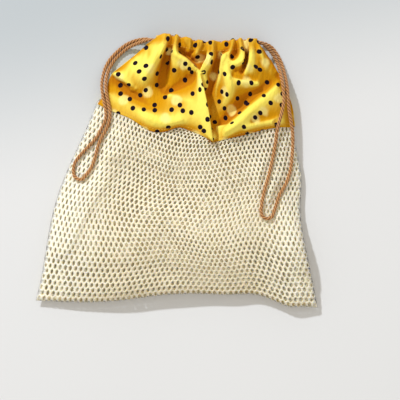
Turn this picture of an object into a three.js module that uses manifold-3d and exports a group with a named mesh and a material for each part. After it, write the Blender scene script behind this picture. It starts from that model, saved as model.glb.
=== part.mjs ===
// A mesh produce bag lying on a table: a knitted net body with a cotton cuff, drawn half shut by two cords.
// Millimetres. +X runs across the bag, +Y towards its mouth and +Z up from the table.
import * as THREE from "three";
import { mergeVertices } from "three/addons/utils/BufferGeometryUtils.js";
import Module from "manifold-3d";

const wasm = await Module();
wasm.setup();

// Cloth, cord and thread
const netThickness = 1.4;
const cuffThickness = 0.9;
const cordDiameter = 3.3;
const threadDiameter = 0.7;
const clearance = 0.3;

// The outline of the bag as it lies, seen from above
const bagLength = 273;
const bottomWidth = 282;
const joinWidth = 198;
const mouthWidth = 99;
const mouthShift = 13.5;
const shoulderCurve = 1.8;
const sideLean = 2;
const cuffSideLength = 67;
const mouthSag = 4.5;
const bottomTilt = 4;
const bottomBow = 6;
const joinTilt = 6;
const joinSag = 25;
const dipPlace = 0.2;
const dipFall = 1.4;
const joinLap = 9;

// Heights above the table
const seamHeight = 6;
const netCrown = 27;
const joinCrown = 15;
const edgeGap = 0.2;
const mouthGap = 6.4;
const backEdgeRadius = 14;
const bottomRollLength = 80;

// How full the front swells towards its edges: 2 is a round section, and higher numbers are boxier
const netFullness = 2.6;
const cuffFullness = 8;
const bottomFullness = 2.6;
const sideCurve = 0.75;

// The drawstring channel that is folded into the top of the cuff, and its gathers
const laneSpacing = 4.2;
const laneClearance = 0.45;
const channelWall = 0.85;
const channelTopWall = 1.1;
const channelFloor = 1.3;
const gatherCount = 7;
const gatherRidge = 2.2;
const gatherWave = 2.4;
const channelRound = 2;
const topWave = 1.6;
const endLength = 14;
const endWall = 1.6;

// Seam allowances turned inside the bag, and the stitch rows
const seamWidth = 6;
const seamThickness = 1.4;
const seamInset = 1.4;
const seamEndGap = 10;
const stitchInset = 4;

const cordRadius = cordDiameter / 2;
const threadRadius = threadDiameter / 2;
const laneHalfHeight = cordRadius + laneClearance;
const channelHalfWidth = laneSpacing / 2 + cordRadius + laneClearance;
const channelHalfHeight = laneHalfHeight + channelWall;
const top = bagLength / 2;
const cordLine = top - channelTopWall - channelHalfWidth;
const stitchLine = cordLine - channelHalfWidth - channelFloor;
const backLane = channelHalfHeight + gatherRidge + clearance;
const frontLane = backLane + 2 * channelHalfHeight + mouthGap;
const mouthMiddle = (backLane + frontLane) / 2;
const mouthRise = frontLane - mouthMiddle - edgeGap;
const casingHalf = mouthWidth / 2 - endLength;
const backRidge = backLane - channelHalfHeight - clearance - threadDiameter;
const lapFloor = cuffThickness + 2 * clearance + threadDiameter;

const mix = (a, b, t) => a + (b - a) * t;
const clamp01 = (t) => Math.min(1, Math.max(0, t));

function ease(t) {
  const c = clamp01(t);
  return c * c * (3 - 2 * c);
}

// Places on the bag are given by u, from -1 at its left edge to 1 at its right, and by v:
// 0 at the bottom edge, 1 where the net meets the cuff and 2 at the stitch line under the channel.
const halfWidth = (v) => mix(bottomWidth, joinWidth, clamp01(v)) / 2 - narrowing(v);
const narrowing = (v) => ((joinWidth - mouthWidth) / 2) * clamp01(v - 1) ** shoulderCurve;
const shift = (v) => mouthShift * ease((v - 0.4) / 1.2) - sideLean * Math.sin(Math.PI * v) ** 2;
const bow = (u) => Math.cos(0.9 * Math.PI * (u - 0.15));
const bottomEdge = (u) => -bagLength / 2 + bottomTilt * (u + 1) + bottomBow * (bow(u) - bow(-1));
const dipLeft = (u) => 1 - ((u - dipPlace) / (1 + dipPlace)) ** 2;
const dipRight = (u) => (1 - (u - dipPlace) / (1 - dipPlace)) ** dipFall;
const joinDip = (u) => (u < dipPlace ? dipLeft(u) : dipRight(u));
const joinEdge = (u) => stitchLine - cuffSideLength - joinTilt * u - joinSag * joinDip(u);
const middle = (v) => mix(seamHeight, mouthMiddle, ease(v - 1));
const lapShare = joinLap / cuffSideLength;
const stitchShare = stitchInset / cuffSideLength;
const gatherShare = casingHalf / (mouthWidth / 2);

// Between its two ends the gathered edge of the mouth hangs a little lower: 1 in the middle, 0 at the ends.
const sagShare = (u) => (1 - Math.min(1, Math.abs(u) / gatherShare) ** 2) ** 2;

function along(u, v, inset) {
  if (v <= 1) return mix(bottomEdge(u) + inset, joinEdge(u), v);
  return mix(joinEdge(u), stitchLine - mouthSag * sagShare(u), v - 1);
}

// The main folds of the front of the cuff: lines through places on the bag, with the height in millimetres
// that the cloth has above its plain crown at the line's start and end. Between the lines it goes smoothly
// from one height to the next, and it never sinks below foldFloor, so that the cuff stays open inside.
const foldRound = 5;
const foldReach = 22;
const foldFloor = 17.4;
const folds = [
  { name: "flap crest", rise: [9, 4], line: [[-0.76, 1.92], [-0.7, 1.6], [-0.74, 1.36]] },
  { name: "flap valley", rise: [-4, -4], line: [[-0.64, 1.91], [-0.5, 1.65], [-0.39, 1.44]] },
  { name: "pleat", rise: [10, 8], line: [[-0.55, 1.94], [-0.46, 1.88], [-0.08, 1.77]] },
  { name: "facet foot", rise: [-4, 1], line: [[-0.38, 1.45], [-0.17, 1.66]] },
  { name: "facet edge", rise: [9, 10], line: [[-0.05, 1.74], [0.03, 1.55], [0.1, 1.26], [0.17, 1.06]] },
  { name: "band valley", rise: [-3, -5], line: [[0.25, 1.88], [0.15, 1.66], [0.12, 1.4], [0.19, 1.1]] },
  { name: "panel crest", rise: [11, 8], line: [[0.52, 1.97], [0.32, 1.78], [0.31, 1.5], [0.26, 1.25]] },
  { name: "cowl rim", rise: [11, 10], line: [[0.72, 1.92], [0.6, 1.8], [0.42, 1.83]] },
  { name: "corner foot", rise: [2, 0], line: [[0.86, 1.62], [0.62, 1.45], [0.32, 1.22]] },
  { name: "corner crest", rise: [3, 10], line: [[0.76, 1.42], [0.66, 1.33], [0.42, 1.13]] },
  { name: "bed of the right cord", rise: [0, 0], line: [[0.94, 1.46], [0.89, 1.25], [0.83, 1]] },
  { name: "low swell", rise: [4, 7], line: [[-0.7, 1.14], [-0.5, 1.12], [-0.15, 1.17]] },
  { name: "bed of the left cord", rise: [0, 0], line: [[-0.92, 1.2], [-0.84, 0.95]] },
];

const place = (u, v) => [shift(v) + u * halfWidth(v), along(u, v, 0)];

// How far (x, y) lies from the fold's line, and how far along the line its nearest point is, 0 to 1.
function besideFold(fold, x, y) {
  const pieces = fold.line.length - 1;
  let nearest = { far: Infinity, share: 0 };
  for (let i = 0; i < pieces; i++) {
    const [ax, ay] = place(...fold.line[i]);
    const [bx, by] = place(...fold.line[i + 1]);
    const way = [bx - ax, by - ay];
    const t = clamp01(((x - ax) * way[0] + (y - ay) * way[1]) / Math.hypot(...way) ** 2);
    const far = Math.hypot(x - mix(ax, bx, t), y - mix(ay, by, t));
    if (far < nearest.far) nearest = { far, share: (i + t) / pieces };
  }
  return nearest;
}

function foldRise(x, y) {
  let weights = 1 / foldReach ** 4;
  let rises = 0;
  for (const fold of folds) {
    const { far, share } = besideFold(fold, x, y);
    const weight = 1 / (far ** 2 + foldRound ** 2) ** 2;
    weights += weight;
    rises += weight * mix(...fold.rise, share);
  }
  return rises / weights;
}

// The gathers along the channel: 1 on a ridge and 0 in a valley.
function gather(u) {
  const x = u / gatherShare;
  if (Math.abs(x) >= 1) return 0;
  return 0.5 - 0.5 * Math.cos(Math.PI * gatherCount * (x + 1));
}

// A point on the front (face 1) or back (face -1) of the bag. A positive inset moves it into the bag.
function surface(face, u, v, inset) {
  const x = shift(v) + u * (halfWidth(v) - inset);
  const y = along(u, v, inset);
  const inside = 1 - u ** 8;
  const waves = gatherWave * (2 * gather(u) - 1) * ease((v - 1.35) / 0.65);
  if (face > 0) {
    const netRise = mix(netCrown, joinCrown, ease((v - 0.3) / 0.7));
    const cuffRise = mix(joinCrown, mouthRise, ease(v - 1));
    const crown = v < 1 ? netRise : cuffRise;
    const section = (1 - Math.abs(u) ** mix(netFullness, cuffFullness, ease(v - 1))) ** sideCurve;
    const roll = Math.sqrt(1 - (1 - clamp01((v * cuffToBottom) / bottomRollLength)) ** bottomFullness);
    const plain = middle(v) + edgeGap + roll * section * (crown - inset) + inside * waves;
    const held = ease((v - 0.95) / 0.3) * (1 - ease((v - 1.6) / 0.4));
    const deepest = -Math.max(0, plain - foldFloor);
    return new THREE.Vector3(x, y, plain + inside * Math.max(held * foldRise(x, y), deepest));
  }
  const edge = backEdgeRadius / halfWidth(v);
  const section = Math.sqrt(1 - clamp01((Math.abs(u) - 1 + edge) / edge) ** 2);
  const roll = Math.sqrt(1 - (1 - clamp01((v * cuffToBottom) / backEdgeRadius)) ** 2);
  const lowest = mix(lapFloor * ease((v - 0.85) / 0.1), backLane, ease(v - 1));
  const drop = middle(v) - edgeGap - lowest;
  return new THREE.Vector3(x, y, middle(v) - edgeGap - roll * section * (drop - inset) - inside * waves);
}
const cuffToBottom = stitchLine - cuffSideLength + bagLength / 2;

// The values of u where the cloth is sampled: four to each gather, and closer towards the edges.
function stations() {
  const list = [];
  const gathered = 4 * gatherCount;
  const edgeSteps = 5;
  for (let i = 0; i <= gathered; i++) list.push(mix(-gatherShare, gatherShare, i / gathered));
  for (let i = 1; i <= edgeSteps; i++) {
    const u = mix(gatherShare, 1, Math.sin((Math.PI / 2) * (i / edgeSteps)));
    list.push(u);
    list.unshift(-u);
  }
  return list;
}
const across = stations();

// A geometry from rows of corners, each face a list of corner numbers.
function geometryOf(points, faces) {
  const position = new Float32Array(faces.flat().flatMap((i) => points[i].toArray()));
  const geometry = new THREE.BufferGeometry();
  geometry.setAttribute("position", new THREE.BufferAttribute(position, 3));
  geometry.computeVertexNormals();
  return geometry;
}

// A closed skin between two grids of points, grid[row][column], that lie over each other.
function slab(upper, lower) {
  const rows = upper.length;
  const columns = upper[0].length;
  const points = [...upper.flat(), ...lower.flat()];
  const at = (layer, r, c) => layer * rows * columns + r * columns + c;
  const faces = [];
  const quad = (a, b, c, d) => faces.push([a, b, c], [a, c, d]);
  for (let r = 0; r + 1 < rows; r++) {
    for (let c = 0; c + 1 < columns; c++) {
      quad(at(0, r, c), at(0, r, c + 1), at(0, r + 1, c + 1), at(0, r + 1, c));
      quad(at(1, r, c), at(1, r + 1, c), at(1, r + 1, c + 1), at(1, r, c + 1));
    }
  }
  for (let c = 0; c + 1 < columns; c++) {
    quad(at(1, 0, c), at(1, 0, c + 1), at(0, 0, c + 1), at(0, 0, c));
    quad(at(0, rows - 1, c), at(0, rows - 1, c + 1), at(1, rows - 1, c + 1), at(1, rows - 1, c));
  }
  const end = columns - 1;
  for (let r = 0; r + 1 < rows; r++) {
    quad(at(0, r, 0), at(0, r + 1, 0), at(1, r + 1, 0), at(1, r, 0));
    quad(at(1, r, end), at(1, r + 1, end), at(0, r + 1, end), at(0, r, end));
  }
  return geometryOf(points, faces);
}

// The cloth of one face between two values of v, its faces inset by outer and inner.
function cloth(face, levels, outer, inner) {
  const grid = (inset) => levels.map((v) => across.map((u) => surface(face, u, v, inset)));
  return face > 0 ? slab(grid(outer), grid(inner)) : slab(grid(inner), grid(outer));
}

// A bar of constant section along a row of frames, each a list of corners in the same order.
function loft(sections) {
  const corners = sections[0].length;
  const points = sections.flat();
  const faces = [];
  for (let s = 0; s + 1 < sections.length; s++) {
    for (let c = 0; c < corners; c++) {
      const a = s * corners + c;
      const b = s * corners + ((c + 1) % corners);
      faces.push([a, b, b + corners], [a, b + corners, a + corners]);
    }
  }
  const last = (sections.length - 1) * corners;
  for (let c = 1; c + 1 < corners; c++) {
    faces.push([0, c + 1, c]);
    faces.push([last, last + c, last + c + 1]);
  }
  return geometryOf(points, faces);
}

function solidOf(geometry) {
  const bare = geometry.index ? geometry.toNonIndexed() : geometry.clone();
  bare.deleteAttribute("normal");
  bare.deleteAttribute("uv");
  const merged = mergeVertices(bare, 1e-4);
  const vertProperties = merged.attributes.position.array;
  const triVerts = new Uint32Array(merged.index.array);
  return new wasm.Manifold(new wasm.Mesh({ numProp: 3, vertProperties, triVerts }));
}

function geometryFrom(solid) {
  const mesh = solid.getMesh();
  const geometry = new THREE.BufferGeometry();
  geometry.setAttribute("position", new THREE.BufferAttribute(mesh.vertProperties, 3));
  geometry.setIndex(new THREE.BufferAttribute(mesh.triVerts, 1));
  geometry.computeVertexNormals();
  return geometry;
}

function box(low, high) {
  const size = high.map((h, i) => h - low[i]);
  return new THREE.BoxGeometry(...size).translate(...low.map((l, i) => l + size[i] / 2));
}

// A round tube along a curve, cut square at both ends.
function tube(curve, radius, sides, steps) {
  const ring = new THREE.Shape();
  for (let i = 0; i <= sides; i++) {
    const angle = (2 * Math.PI * i) / sides;
    const point = [radius * Math.cos(angle), radius * Math.sin(angle)];
    if (i === 0) ring.moveTo(...point);
    else ring.lineTo(...point);
  }
  return new THREE.ExtrudeGeometry(ring, { steps, bevelEnabled: false, extrudePath: curve });
}

const group = new THREE.Group();
group.name = "mesh_produce_bag";

function add(name, geometry, material) {
  const mesh = new THREE.Mesh(geometry, material);
  mesh.name = name;
  group.add(mesh);
}

const finish = (color, roughness) => new THREE.MeshStandardMaterial({ color, roughness, metalness: 0 });
const netCotton = finish("#efe3c4", 0.95);
const cuffCotton = finish("#e9b415", 0.85);
const cordTan = finish("#a9713a", 0.9);
const creamThread = finish("#f4ead0", 0.8);
const yellowThread = finish("#e0aa12", 0.7);

// The net body: two knitted panels that meet edge to edge round the sides and the bottom.
const lapLevels = [1, 1 + stitchShare, 1 + lapShare];
const netLevels = [0, 0.015, 0.06, 0.13, 0.24, 0.38, 0.54, 0.7, 0.86, ...lapLevels];
add("net_front_panel", cloth(1, netLevels, 0, netThickness), netCotton);
add("net_back_panel", cloth(-1, netLevels, 0, netThickness), netCotton);

// The cuff: a gathered skirt with the drawstring channel folded into its top edge.
const frontCuffLevels = [...lapLevels, 1.21, 1.29, 1.37, 1.45, 1.53, 1.61, 1.69, 1.77, 1.85, 1.93, 2];
const backCuffLevels = [...lapLevels, 1.28, 1.43, 1.58, 1.73, 1.87, 2];

const casingStations = across.filter((u) => Math.abs(u) * (mouthWidth / 2) <= casingHalf + 1e-6);

// The gathers of the back are flatter, because the bag lies on them.
const ridgeHeight = (face) => (face > 0 ? gatherRidge : backRidge);

// The channel ends just short of the sleeve at each side.
function casingX(u) {
  const x = u * (mouthWidth / 2);
  return shift(2) + Math.sign(x) * Math.min(Math.abs(x), casingHalf - clearance);
}

function channelOuter(face) {
  const lane = face > 0 ? frontLane : backLane;
  const sections = casingStations.map((u) => {
    const x = casingX(u);
    const ridge = ridgeHeight(face) * gather(u);
    const sag = mouthSag * sagShare(u);
    const low = stitchLine - channelFloor - sag;
    const high = cordLine + channelHalfWidth + channelTopWall + topWave * gather(u) * sagShare(u) - sag;
    const section = [
      [low, -channelHalfHeight],
      [high - channelRound, -channelHalfHeight],
      [high, -channelRound / 2],
      [high, channelRound / 2],
      [high - channelRound, channelHalfHeight + 0.6 * ridge],
      [cordLine - sag, channelHalfHeight + ridge],
      [low, channelHalfHeight + 0.6 * ridge],
    ];
    const corners = section.map(([y, out]) => new THREE.Vector3(x, y, lane + face * out));
    return face > 0 ? corners : corners.reverse();
  });
  return loft(sections);
}

// The space inside the channel, a little longer than the channel itself.
function channelInner(lane) {
  const sections = casingStations.map((u) => {
    const end = Math.abs(u) > gatherShare - 1e-6 ? 2 * clearance * Math.sign(u) : 0;
    const y = cordLine - mouthSag * sagShare(u);
    const corners = [
      [y - channelHalfWidth, lane - laneHalfHeight],
      [y + channelHalfWidth, lane - laneHalfHeight],
      [y + channelHalfWidth, lane + laneHalfHeight],
      [y - channelHalfWidth, lane + laneHalfHeight],
    ];
    return corners.map(([cornerY, z]) => new THREE.Vector3(casingX(u) + end, cornerY, z));
  });
  return loft(sections);
}

function cuffPanel(face, levels) {
  const lane = face > 0 ? frontLane : backLane;
  const skirt = solidOf(cloth(face, levels, -clearance - cuffThickness, -clearance));
  const channel = solidOf(channelInner(lane));
  return geometryFrom(skirt.add(solidOf(channelOuter(face))).subtract(channel));
}
add("cuff_front_panel", cuffPanel(1, frontCuffLevels), cuffCotton);
add("cuff_back_panel", cuffPanel(-1, backCuffLevels), cuffCotton);

// Seam allowances: flat strips inside the cloth, a little way in from the edge where the panels meet.
function sideStrip(side, levels, inset) {
  const sections = levels.map((v) => {
    const edge = shift(v) + side * (halfWidth(v) - inset - seamInset);
    const inner = edge - side * seamWidth;
    const y = along(side, v, 0);
    const low = middle(v) - seamThickness / 2;
    const high = middle(v) + seamThickness / 2;
    const corners = [[edge, low], [edge, high], [inner, high], [inner, low]];
    const ring = corners.map(([x, z]) => new THREE.Vector3(x, y, z));
    return side > 0 ? ring.reverse() : ring;
  });
  return loft(sections);
}

const seamStart = seamEndGap / cuffToBottom;
const netSeamLevels = [seamStart, 0.15, 0.3, 0.45, 0.6, 0.75, 0.9, 1, 1 + lapShare];
const cuffSeamLevels = [1 + 1.1 * lapShare, 1.25, 1.37, 1.49, 1.61, 1.73, 1.85, 1.95];
add("left_side_seam", sideStrip(-1, netSeamLevels, netThickness), creamThread);
add("right_side_seam", sideStrip(1, netSeamLevels, netThickness), creamThread);
add("left_cuff_seam", sideStrip(-1, cuffSeamLevels, -clearance), yellowThread);
add("right_cuff_seam", sideStrip(1, cuffSeamLevels, -clearance), yellowThread);

function bottomStrip() {
  const sections = [];
  const half = bottomWidth / 2 - netThickness - seamEndGap;
  const steps = 16;
  for (let i = 0; i <= steps; i++) {
    const x = mix(-half, half, i / steps);
    const y = bottomEdge(x / (bottomWidth / 2)) + netThickness + seamInset;
    const low = seamHeight - seamThickness / 2;
    const high = seamHeight + seamThickness / 2;
    const corners = [[y, low], [y + seamWidth, low], [y + seamWidth, high], [y, high]];
    sections.push(corners.map(([cornerY, z]) => new THREE.Vector3(x, cornerY, z)));
  }
  return loft(sections);
}
add("bottom_seam", bottomStrip(), creamThread);

// A curve whose rings fall on the points given for it.
class Route extends THREE.CatmullRomCurve3 {
  getPointAt(t, target) {
    return this.getPoint(t, target);
  }

  getTangentAt(t, target) {
    return this.getTangent(t, target);
  }
}

// Rows of stitches: one thread along the cloth, just clear of it.
const threadLift = clearance + threadRadius;
const threadSides = 4;

function joinRow(face) {
  const v = 1 + stitchShare;
  const inset = -clearance - cuffThickness - threadLift;
  const points = across.slice(1, -1).map((u) => surface(face, u, v, inset));
  return tube(new Route(points), threadRadius, threadSides, points.length - 1);
}

function casingRow(face) {
  const lane = face > 0 ? frontLane : backLane;
  const points = casingStations.map((u) => {
    const ridge = channelHalfHeight + ridgeHeight(face) * gather(u);
    const y = stitchLine - mouthSag * sagShare(u);
    return new THREE.Vector3(casingX(u), y, lane + face * (ridge + threadLift));
  });
  return tube(new Route(points), threadRadius, threadSides, points.length - 1);
}
add("front_join_stitching", joinRow(1), yellowThread);
add("back_join_stitching", joinRow(-1), yellowThread);
add("front_casing_stitching", casingRow(1), yellowThread);
add("back_casing_stitching", casingRow(-1), yellowThread);

// The sleeves that close the channel at the sides of the mouth. Both cords pass through each.
const sleeveRound = 0.35;
const sleeveEdge = 1;

function casingEnd(side) {
  const low = stitchLine + clearance;
  const high = cordLine + channelHalfWidth + channelTopWall;
  const bottom = backLane - channelHalfHeight - gatherRidge;
  const ceiling = frontLane + channelHalfHeight + gatherRidge;
  const round = sleeveRound * (high - low);
  const stops = [0, 0.35, 0.7, 1];
  const sections = stops.map((t) => {
    const x = shift(2) + side * mix(casingHalf, mouthWidth / 2, t);
    const taper = gatherRidge * 0.5 * ease(t);
    const z0 = bottom + taper;
    const z1 = ceiling - taper;
    const corners = [
      [low, z0 + sleeveEdge / 2],
      [low + sleeveEdge, z0],
      [high - round, z0],
      [high - 0.4 * round, z0 + 0.25 * round],
      [high, z0 + round],
      [high, z1 - round],
      [high - 0.4 * round, z1 - 0.25 * round],
      [high - round, z1],
      [low + sleeveEdge, z1],
      [low, z1 - sleeveEdge / 2],
    ];
    const ring = corners.map(([y, z]) => new THREE.Vector3(x, y, z));
    return side > 0 ? ring : ring.reverse();
  });
  const bore = box(
    [shift(2) - mouthWidth, cordLine - channelHalfWidth, backLane - laneHalfHeight],
    [shift(2) + mouthWidth, cordLine + channelHalfWidth, frontLane + laneHalfHeight],
  );
  return geometryFrom(solidOf(loft(sections)).subtract(solidOf(bore)));
}
add("left_casing_end", casingEnd(-1), cuffCotton);
add("right_casing_end", casingEnd(1), cuffCotton);

// Inside the channel each cord runs along the front, turns round in the far sleeve and comes back.
const turnRadius = (frontLane - backLane) / 2;
const turnSteps = 8;
const runSteps = 12;

function cordRun(side) {
  const y = cordLine + (side * laneSpacing) / 2;
  const exit = shift(2) + side * (mouthWidth / 2);
  const turn = shift(2) - side * (mouthWidth / 2 - endWall - cordRadius - turnRadius);
  const points = [];
  for (let i = 0; i < runSteps; i++) points.push([mix(exit, turn, i / runSteps), frontLane]);
  for (let i = 0; i <= turnSteps; i++) {
    const angle = (Math.PI * i) / turnSteps;
    points.push([turn - side * turnRadius * Math.sin(angle), mouthMiddle + turnRadius * Math.cos(angle)]);
  }
  for (let i = 1; i <= runSteps; i++) points.push([mix(turn, exit, i / runSteps), backLane]);
  const sag = (x) => mouthSag * sagShare((x - shift(2)) / (mouthWidth / 2));
  const route = new Route(points.map(([x, z]) => new THREE.Vector3(x, y - sag(x), z)));
  return tube(route, cordRadius, 8, points.length - 1);
}
add("left_drawstring_run", cordRun(-1), cordTan);
add("right_drawstring_run", cordRun(1), cordTan);

// Outside the sleeves each cord hangs out as a loop: its two strands run side by side down to the table,
// up over the shoulder of the cuff and open out on the net. The points between the two ends are the
// path that the loop was seen to lie on.
const leftLoop = [
  [-39.5, 129, 17.2], [-45.4, 128.6, 14], [-61.4, 122.3, 4.3], [-67.4, 118.1, 2.4], [-76.8, 108, 2.3],
  [-80, 102.1, 3.6], [-82.4, 95.5, 6.4], [-83.6, 83.5, 12.4], [-82.1, 73.5, 14.8], [-77.5, 55.2, 16.6],
  [-77.5, 46.7, 16.5], [-80.4, 37.4, 16.5], [-84.6, 28.5, 16.5], [-87.4, 19.9, 16.6], [-89.4, 9.4, 17.4],
  [-92.6, -1.1, 18], [-96.9, -8.2, 17.8], [-100.2, -12.4, 17], [-105, -13.1, 15.6], [-109, -10.1, 14],
  [-110.4, -4.2, 12.4], [-109.6, 2, 11.6], [-105.5, 9.5, 12], [-89.8, 28.5, 15.2], [-84.8, 38.6, 15.4],
  [-81.5, 47.3, 15.3], [-81.4, 54.8, 15], [-83.2, 62.4, 15], [-86, 72.7, 12.8], [-87.5, 83.1, 9.8],
  [-86.2, 96.5, 4.8], [-83.7, 103.7, 2.8], [-80, 110.2, 2], [-69.8, 121.1, 2], [-63.4, 125.7, 2],
  [-55.1, 129.2, 2.4], [-45.6, 130.6, 4.2], [-39.5, 129.4, 5.2],
];
const rightLoop = [
  [66.5, 133.2, 17.2], [70.2, 132, 14.5], [75.4, 128.2, 9.5], [81.1, 122.2, 5.2], [85.1, 115.6, 4.6],
  [89.7, 101.5, 13.3], [91.7, 93.6, 16.3], [93.8, 78.4, 17.8], [92.9, 67.7, 18.4], [90.2, 54.3, 18.9],
  [88.7, 44.5, 18.2], [88.3, 35.3, 17.2], [86.6, 21.8, 17.9], [83.2, 1.5, 20.5], [79.8, -13.5, 22.9],
  [78, -25.5, 24.9], [77.9, -34.3, 25.8], [79.7, -38.7, 26], [84.1, -40.5, 25.6], [88.5, -38.7, 24.6],
  [90.3, -34.3, 23.5], [92, -27.6, 21.8], [95, -16.6, 19.4], [100.6, -5.5, 16.4], [104.1, 5.5, 14],
  [105.6, 20.3, 12.4], [104.8, 45.9, 11.4], [102.6, 56, 13.2], [100, 67, 15], [97.9, 78.8, 15.6],
  [97, 87, 14.5], [95.6, 94.4, 12.2], [91.4, 110.1, 4.6], [88.5, 117.4, 2.4], [84.1, 124.6, 2],
  [77.8, 131, 2.6], [70.2, 133.6, 4.6], [66.5, 133.4, 5.3],
];

function cordLoop(side, path) {
  const x = shift(2) + side * (mouthWidth / 2 + clearance);
  const y = cordLine + (side * laneSpacing) / 2;
  const points = [[x, y, frontLane], ...path, [x, y, backLane]].map((point) => new THREE.Vector3(...point));
  return tube(new Route(points), cordRadius, 8, points.length - 1);
}
add("left_drawstring_loop", cordLoop(-1, leftLoop), cordTan);
add("right_drawstring_loop", cordLoop(1, rightLoop), cordTan);

export default group;
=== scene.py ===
"""A mesh produce bag that lies on its back: a knitted net below, a gathered cotton cuff above,
and two twisted drawstrings that run round the mouth and come out at its ends as loops."""

import math

import bpy
import numpy as np
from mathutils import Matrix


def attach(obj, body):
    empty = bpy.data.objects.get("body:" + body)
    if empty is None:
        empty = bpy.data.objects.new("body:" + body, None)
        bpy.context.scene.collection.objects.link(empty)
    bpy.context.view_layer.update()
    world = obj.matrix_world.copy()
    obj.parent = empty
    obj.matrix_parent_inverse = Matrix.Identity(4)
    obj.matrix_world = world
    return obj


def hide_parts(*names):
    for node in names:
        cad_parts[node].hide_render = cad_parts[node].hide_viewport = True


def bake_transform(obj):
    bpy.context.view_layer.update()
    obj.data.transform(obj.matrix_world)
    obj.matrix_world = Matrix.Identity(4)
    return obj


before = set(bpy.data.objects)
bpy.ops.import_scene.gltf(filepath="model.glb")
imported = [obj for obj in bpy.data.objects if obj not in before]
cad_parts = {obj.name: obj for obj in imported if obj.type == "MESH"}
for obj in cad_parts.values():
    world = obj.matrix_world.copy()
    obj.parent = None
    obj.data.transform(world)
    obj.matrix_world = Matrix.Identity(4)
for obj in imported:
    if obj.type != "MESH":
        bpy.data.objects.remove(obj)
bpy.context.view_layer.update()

# Sizes in millimetres, as the bag is made. Its middle lies at x 0 and y 0, on the table at z 0
MM = 0.001
BOTTOM_WIDTH = 282
JOIN_WIDTH = 198
MOUTH_WIDTH = 99
MOUTH_SHIFT = 13.5
TOP = 136.5
STITCH_LINE = 125.7
CUFF_SIDE_LENGTH = 67
LAP = 9
NET_THICKNESS = 1.25
CLOTH_THICKNESS = 0.45
CORD_DIAMETER = 3.3
FRONT_LANE = 17.75
BACK_LANE = 5.45
LEFT_CORD_LANE = 129.1
RIGHT_CORD_LANE = 133.3
MOUTH_SAG = 4.5
MOUTH_MIDDLE = 11.6
GATHERED_WIDTH = 71
GATHER_SHARE = GATHERED_WIDTH / MOUTH_WIDTH
CUFF_TO_BOTTOM = STITCH_LINE - CUFF_SIDE_LENGTH + TOP


# Camera, floor and light. Places are in metres

CAMERA_PLACE = (0.01695, -0.0263, 1.8)
CAMERA_TURN = 3.5
LENS = 162
FILM_WIDTH = 36
TABLE_SIZE = 8
KEY_PLACE = (-2.47, 3.19, 3.08)
KEY_TARGET = (0.0, 0.02, 0.0)
KEY_POWER = 200
KEY_SIZE = 0.22
KEY_COLOUR = (0.92, 0.96, 1.0)
ROOM_COLOUR = (1.0, 0.95, 0.86, 1)
ROOM_LIGHT = 0.72


def put_in_scene(name, data, place, turn):
    """Adds a camera or a lamp at a place, turned by the given angles."""
    made = bpy.data.objects.new(name, data)
    made.location = place
    made.rotation_euler = turn
    bpy.context.scene.collection.objects.link(made)
    return made


def make_camera():
    """Looks straight down on the bag, a little turned."""
    data = bpy.data.cameras.new("camera")
    data.lens = LENS
    data.sensor_width = FILM_WIDTH
    turn = (0, 0, math.radians(CAMERA_TURN))
    bpy.context.scene.camera = put_in_scene("camera", data, CAMERA_PLACE, turn)


def make_key_light():
    """A small square soft box at the upper left that faces the bag."""
    data = bpy.data.lights.new("key", "AREA")
    data.energy = KEY_POWER
    data.size = KEY_SIZE
    data.color = KEY_COLOUR
    way = np.array(KEY_TARGET) - np.array(KEY_PLACE)
    tilt = math.atan2(math.hypot(way[0], way[1]), -way[2])
    put_in_scene("key", data, KEY_PLACE, (tilt, 0, math.atan2(way[1], way[0]) - math.pi / 2))


def make_surroundings():
    """A pale table top with painted shade that darkens it towards the upper left, the key light and an even
    room of warm white.
    """
    bpy.ops.object.select_all(action="DESELECT")
    bpy.ops.mesh.primitive_plane_add(size=TABLE_SIZE, location=(0, 0, 0))
    floor = bpy.context.object
    floor.name = "table_top"
    finish = Finish("table_top", Roughness=0.6)
    tone = finish.noise(finish.place(), 3, 2)
    pale = finish.mix(tone, srgb(218, 219, 222), srgb(222, 223, 225))
    # Painted shade: the table top is coloured darker and bluer towards the upper left.
    painted_shade_reach = finish.part(finish.place(), 1) - finish.part(finish.place(), 0) * 0.3
    finish.colour(finish.mix(finish.step(painted_shade_reach, 0.0, 0.22), pale, srgb(182, 189, 195)))
    floor.data.materials.append(finish.material)
    make_key_light()
    world = bpy.data.worlds.new("room")
    world.use_nodes = True
    background = world.node_tree.nodes["Background"]
    background.inputs["Color"].default_value = ROOM_COLOUR
    background.inputs["Strength"].default_value = ROOM_LIGHT
    bpy.context.scene.world = world
    bpy.context.scene.view_settings.view_transform = "Standard"


# Materials, written as sums of patterns


def srgb(red, green, blue):
    """A screen colour, 0 to 255, as the linear colour that a shader takes."""
    parts = [part / 255 for part in (red, green, blue)]
    return [part / 12.92 if part <= 0.04045 else ((part + 0.055) / 1.055) ** 2.4 for part in parts] + [1]


class Value:
    """An output of a material's nodes. Arithmetic on it adds the Math nodes."""

    def __init__(self, finish, socket):
        self.finish = finish
        self.socket = socket

    def maths(self, operation, first, second=0.0):
        return self.finish.node("ShaderNodeMath", {"operation": operation}, {0: first, 1: second})

    def __add__(self, other):
        return self.maths("ADD", self, other)

    def __radd__(self, other):
        return self.maths("ADD", other, self)

    def __sub__(self, other):
        return self.maths("SUBTRACT", self, other)

    def __rsub__(self, other):
        return self.maths("SUBTRACT", other, self)

    def __mul__(self, other):
        return self.maths("MULTIPLY", self, other)

    def __rmul__(self, other):
        return self.maths("MULTIPLY", other, self)

    def sine(self):
        return self.maths("SINE", self)


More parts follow.
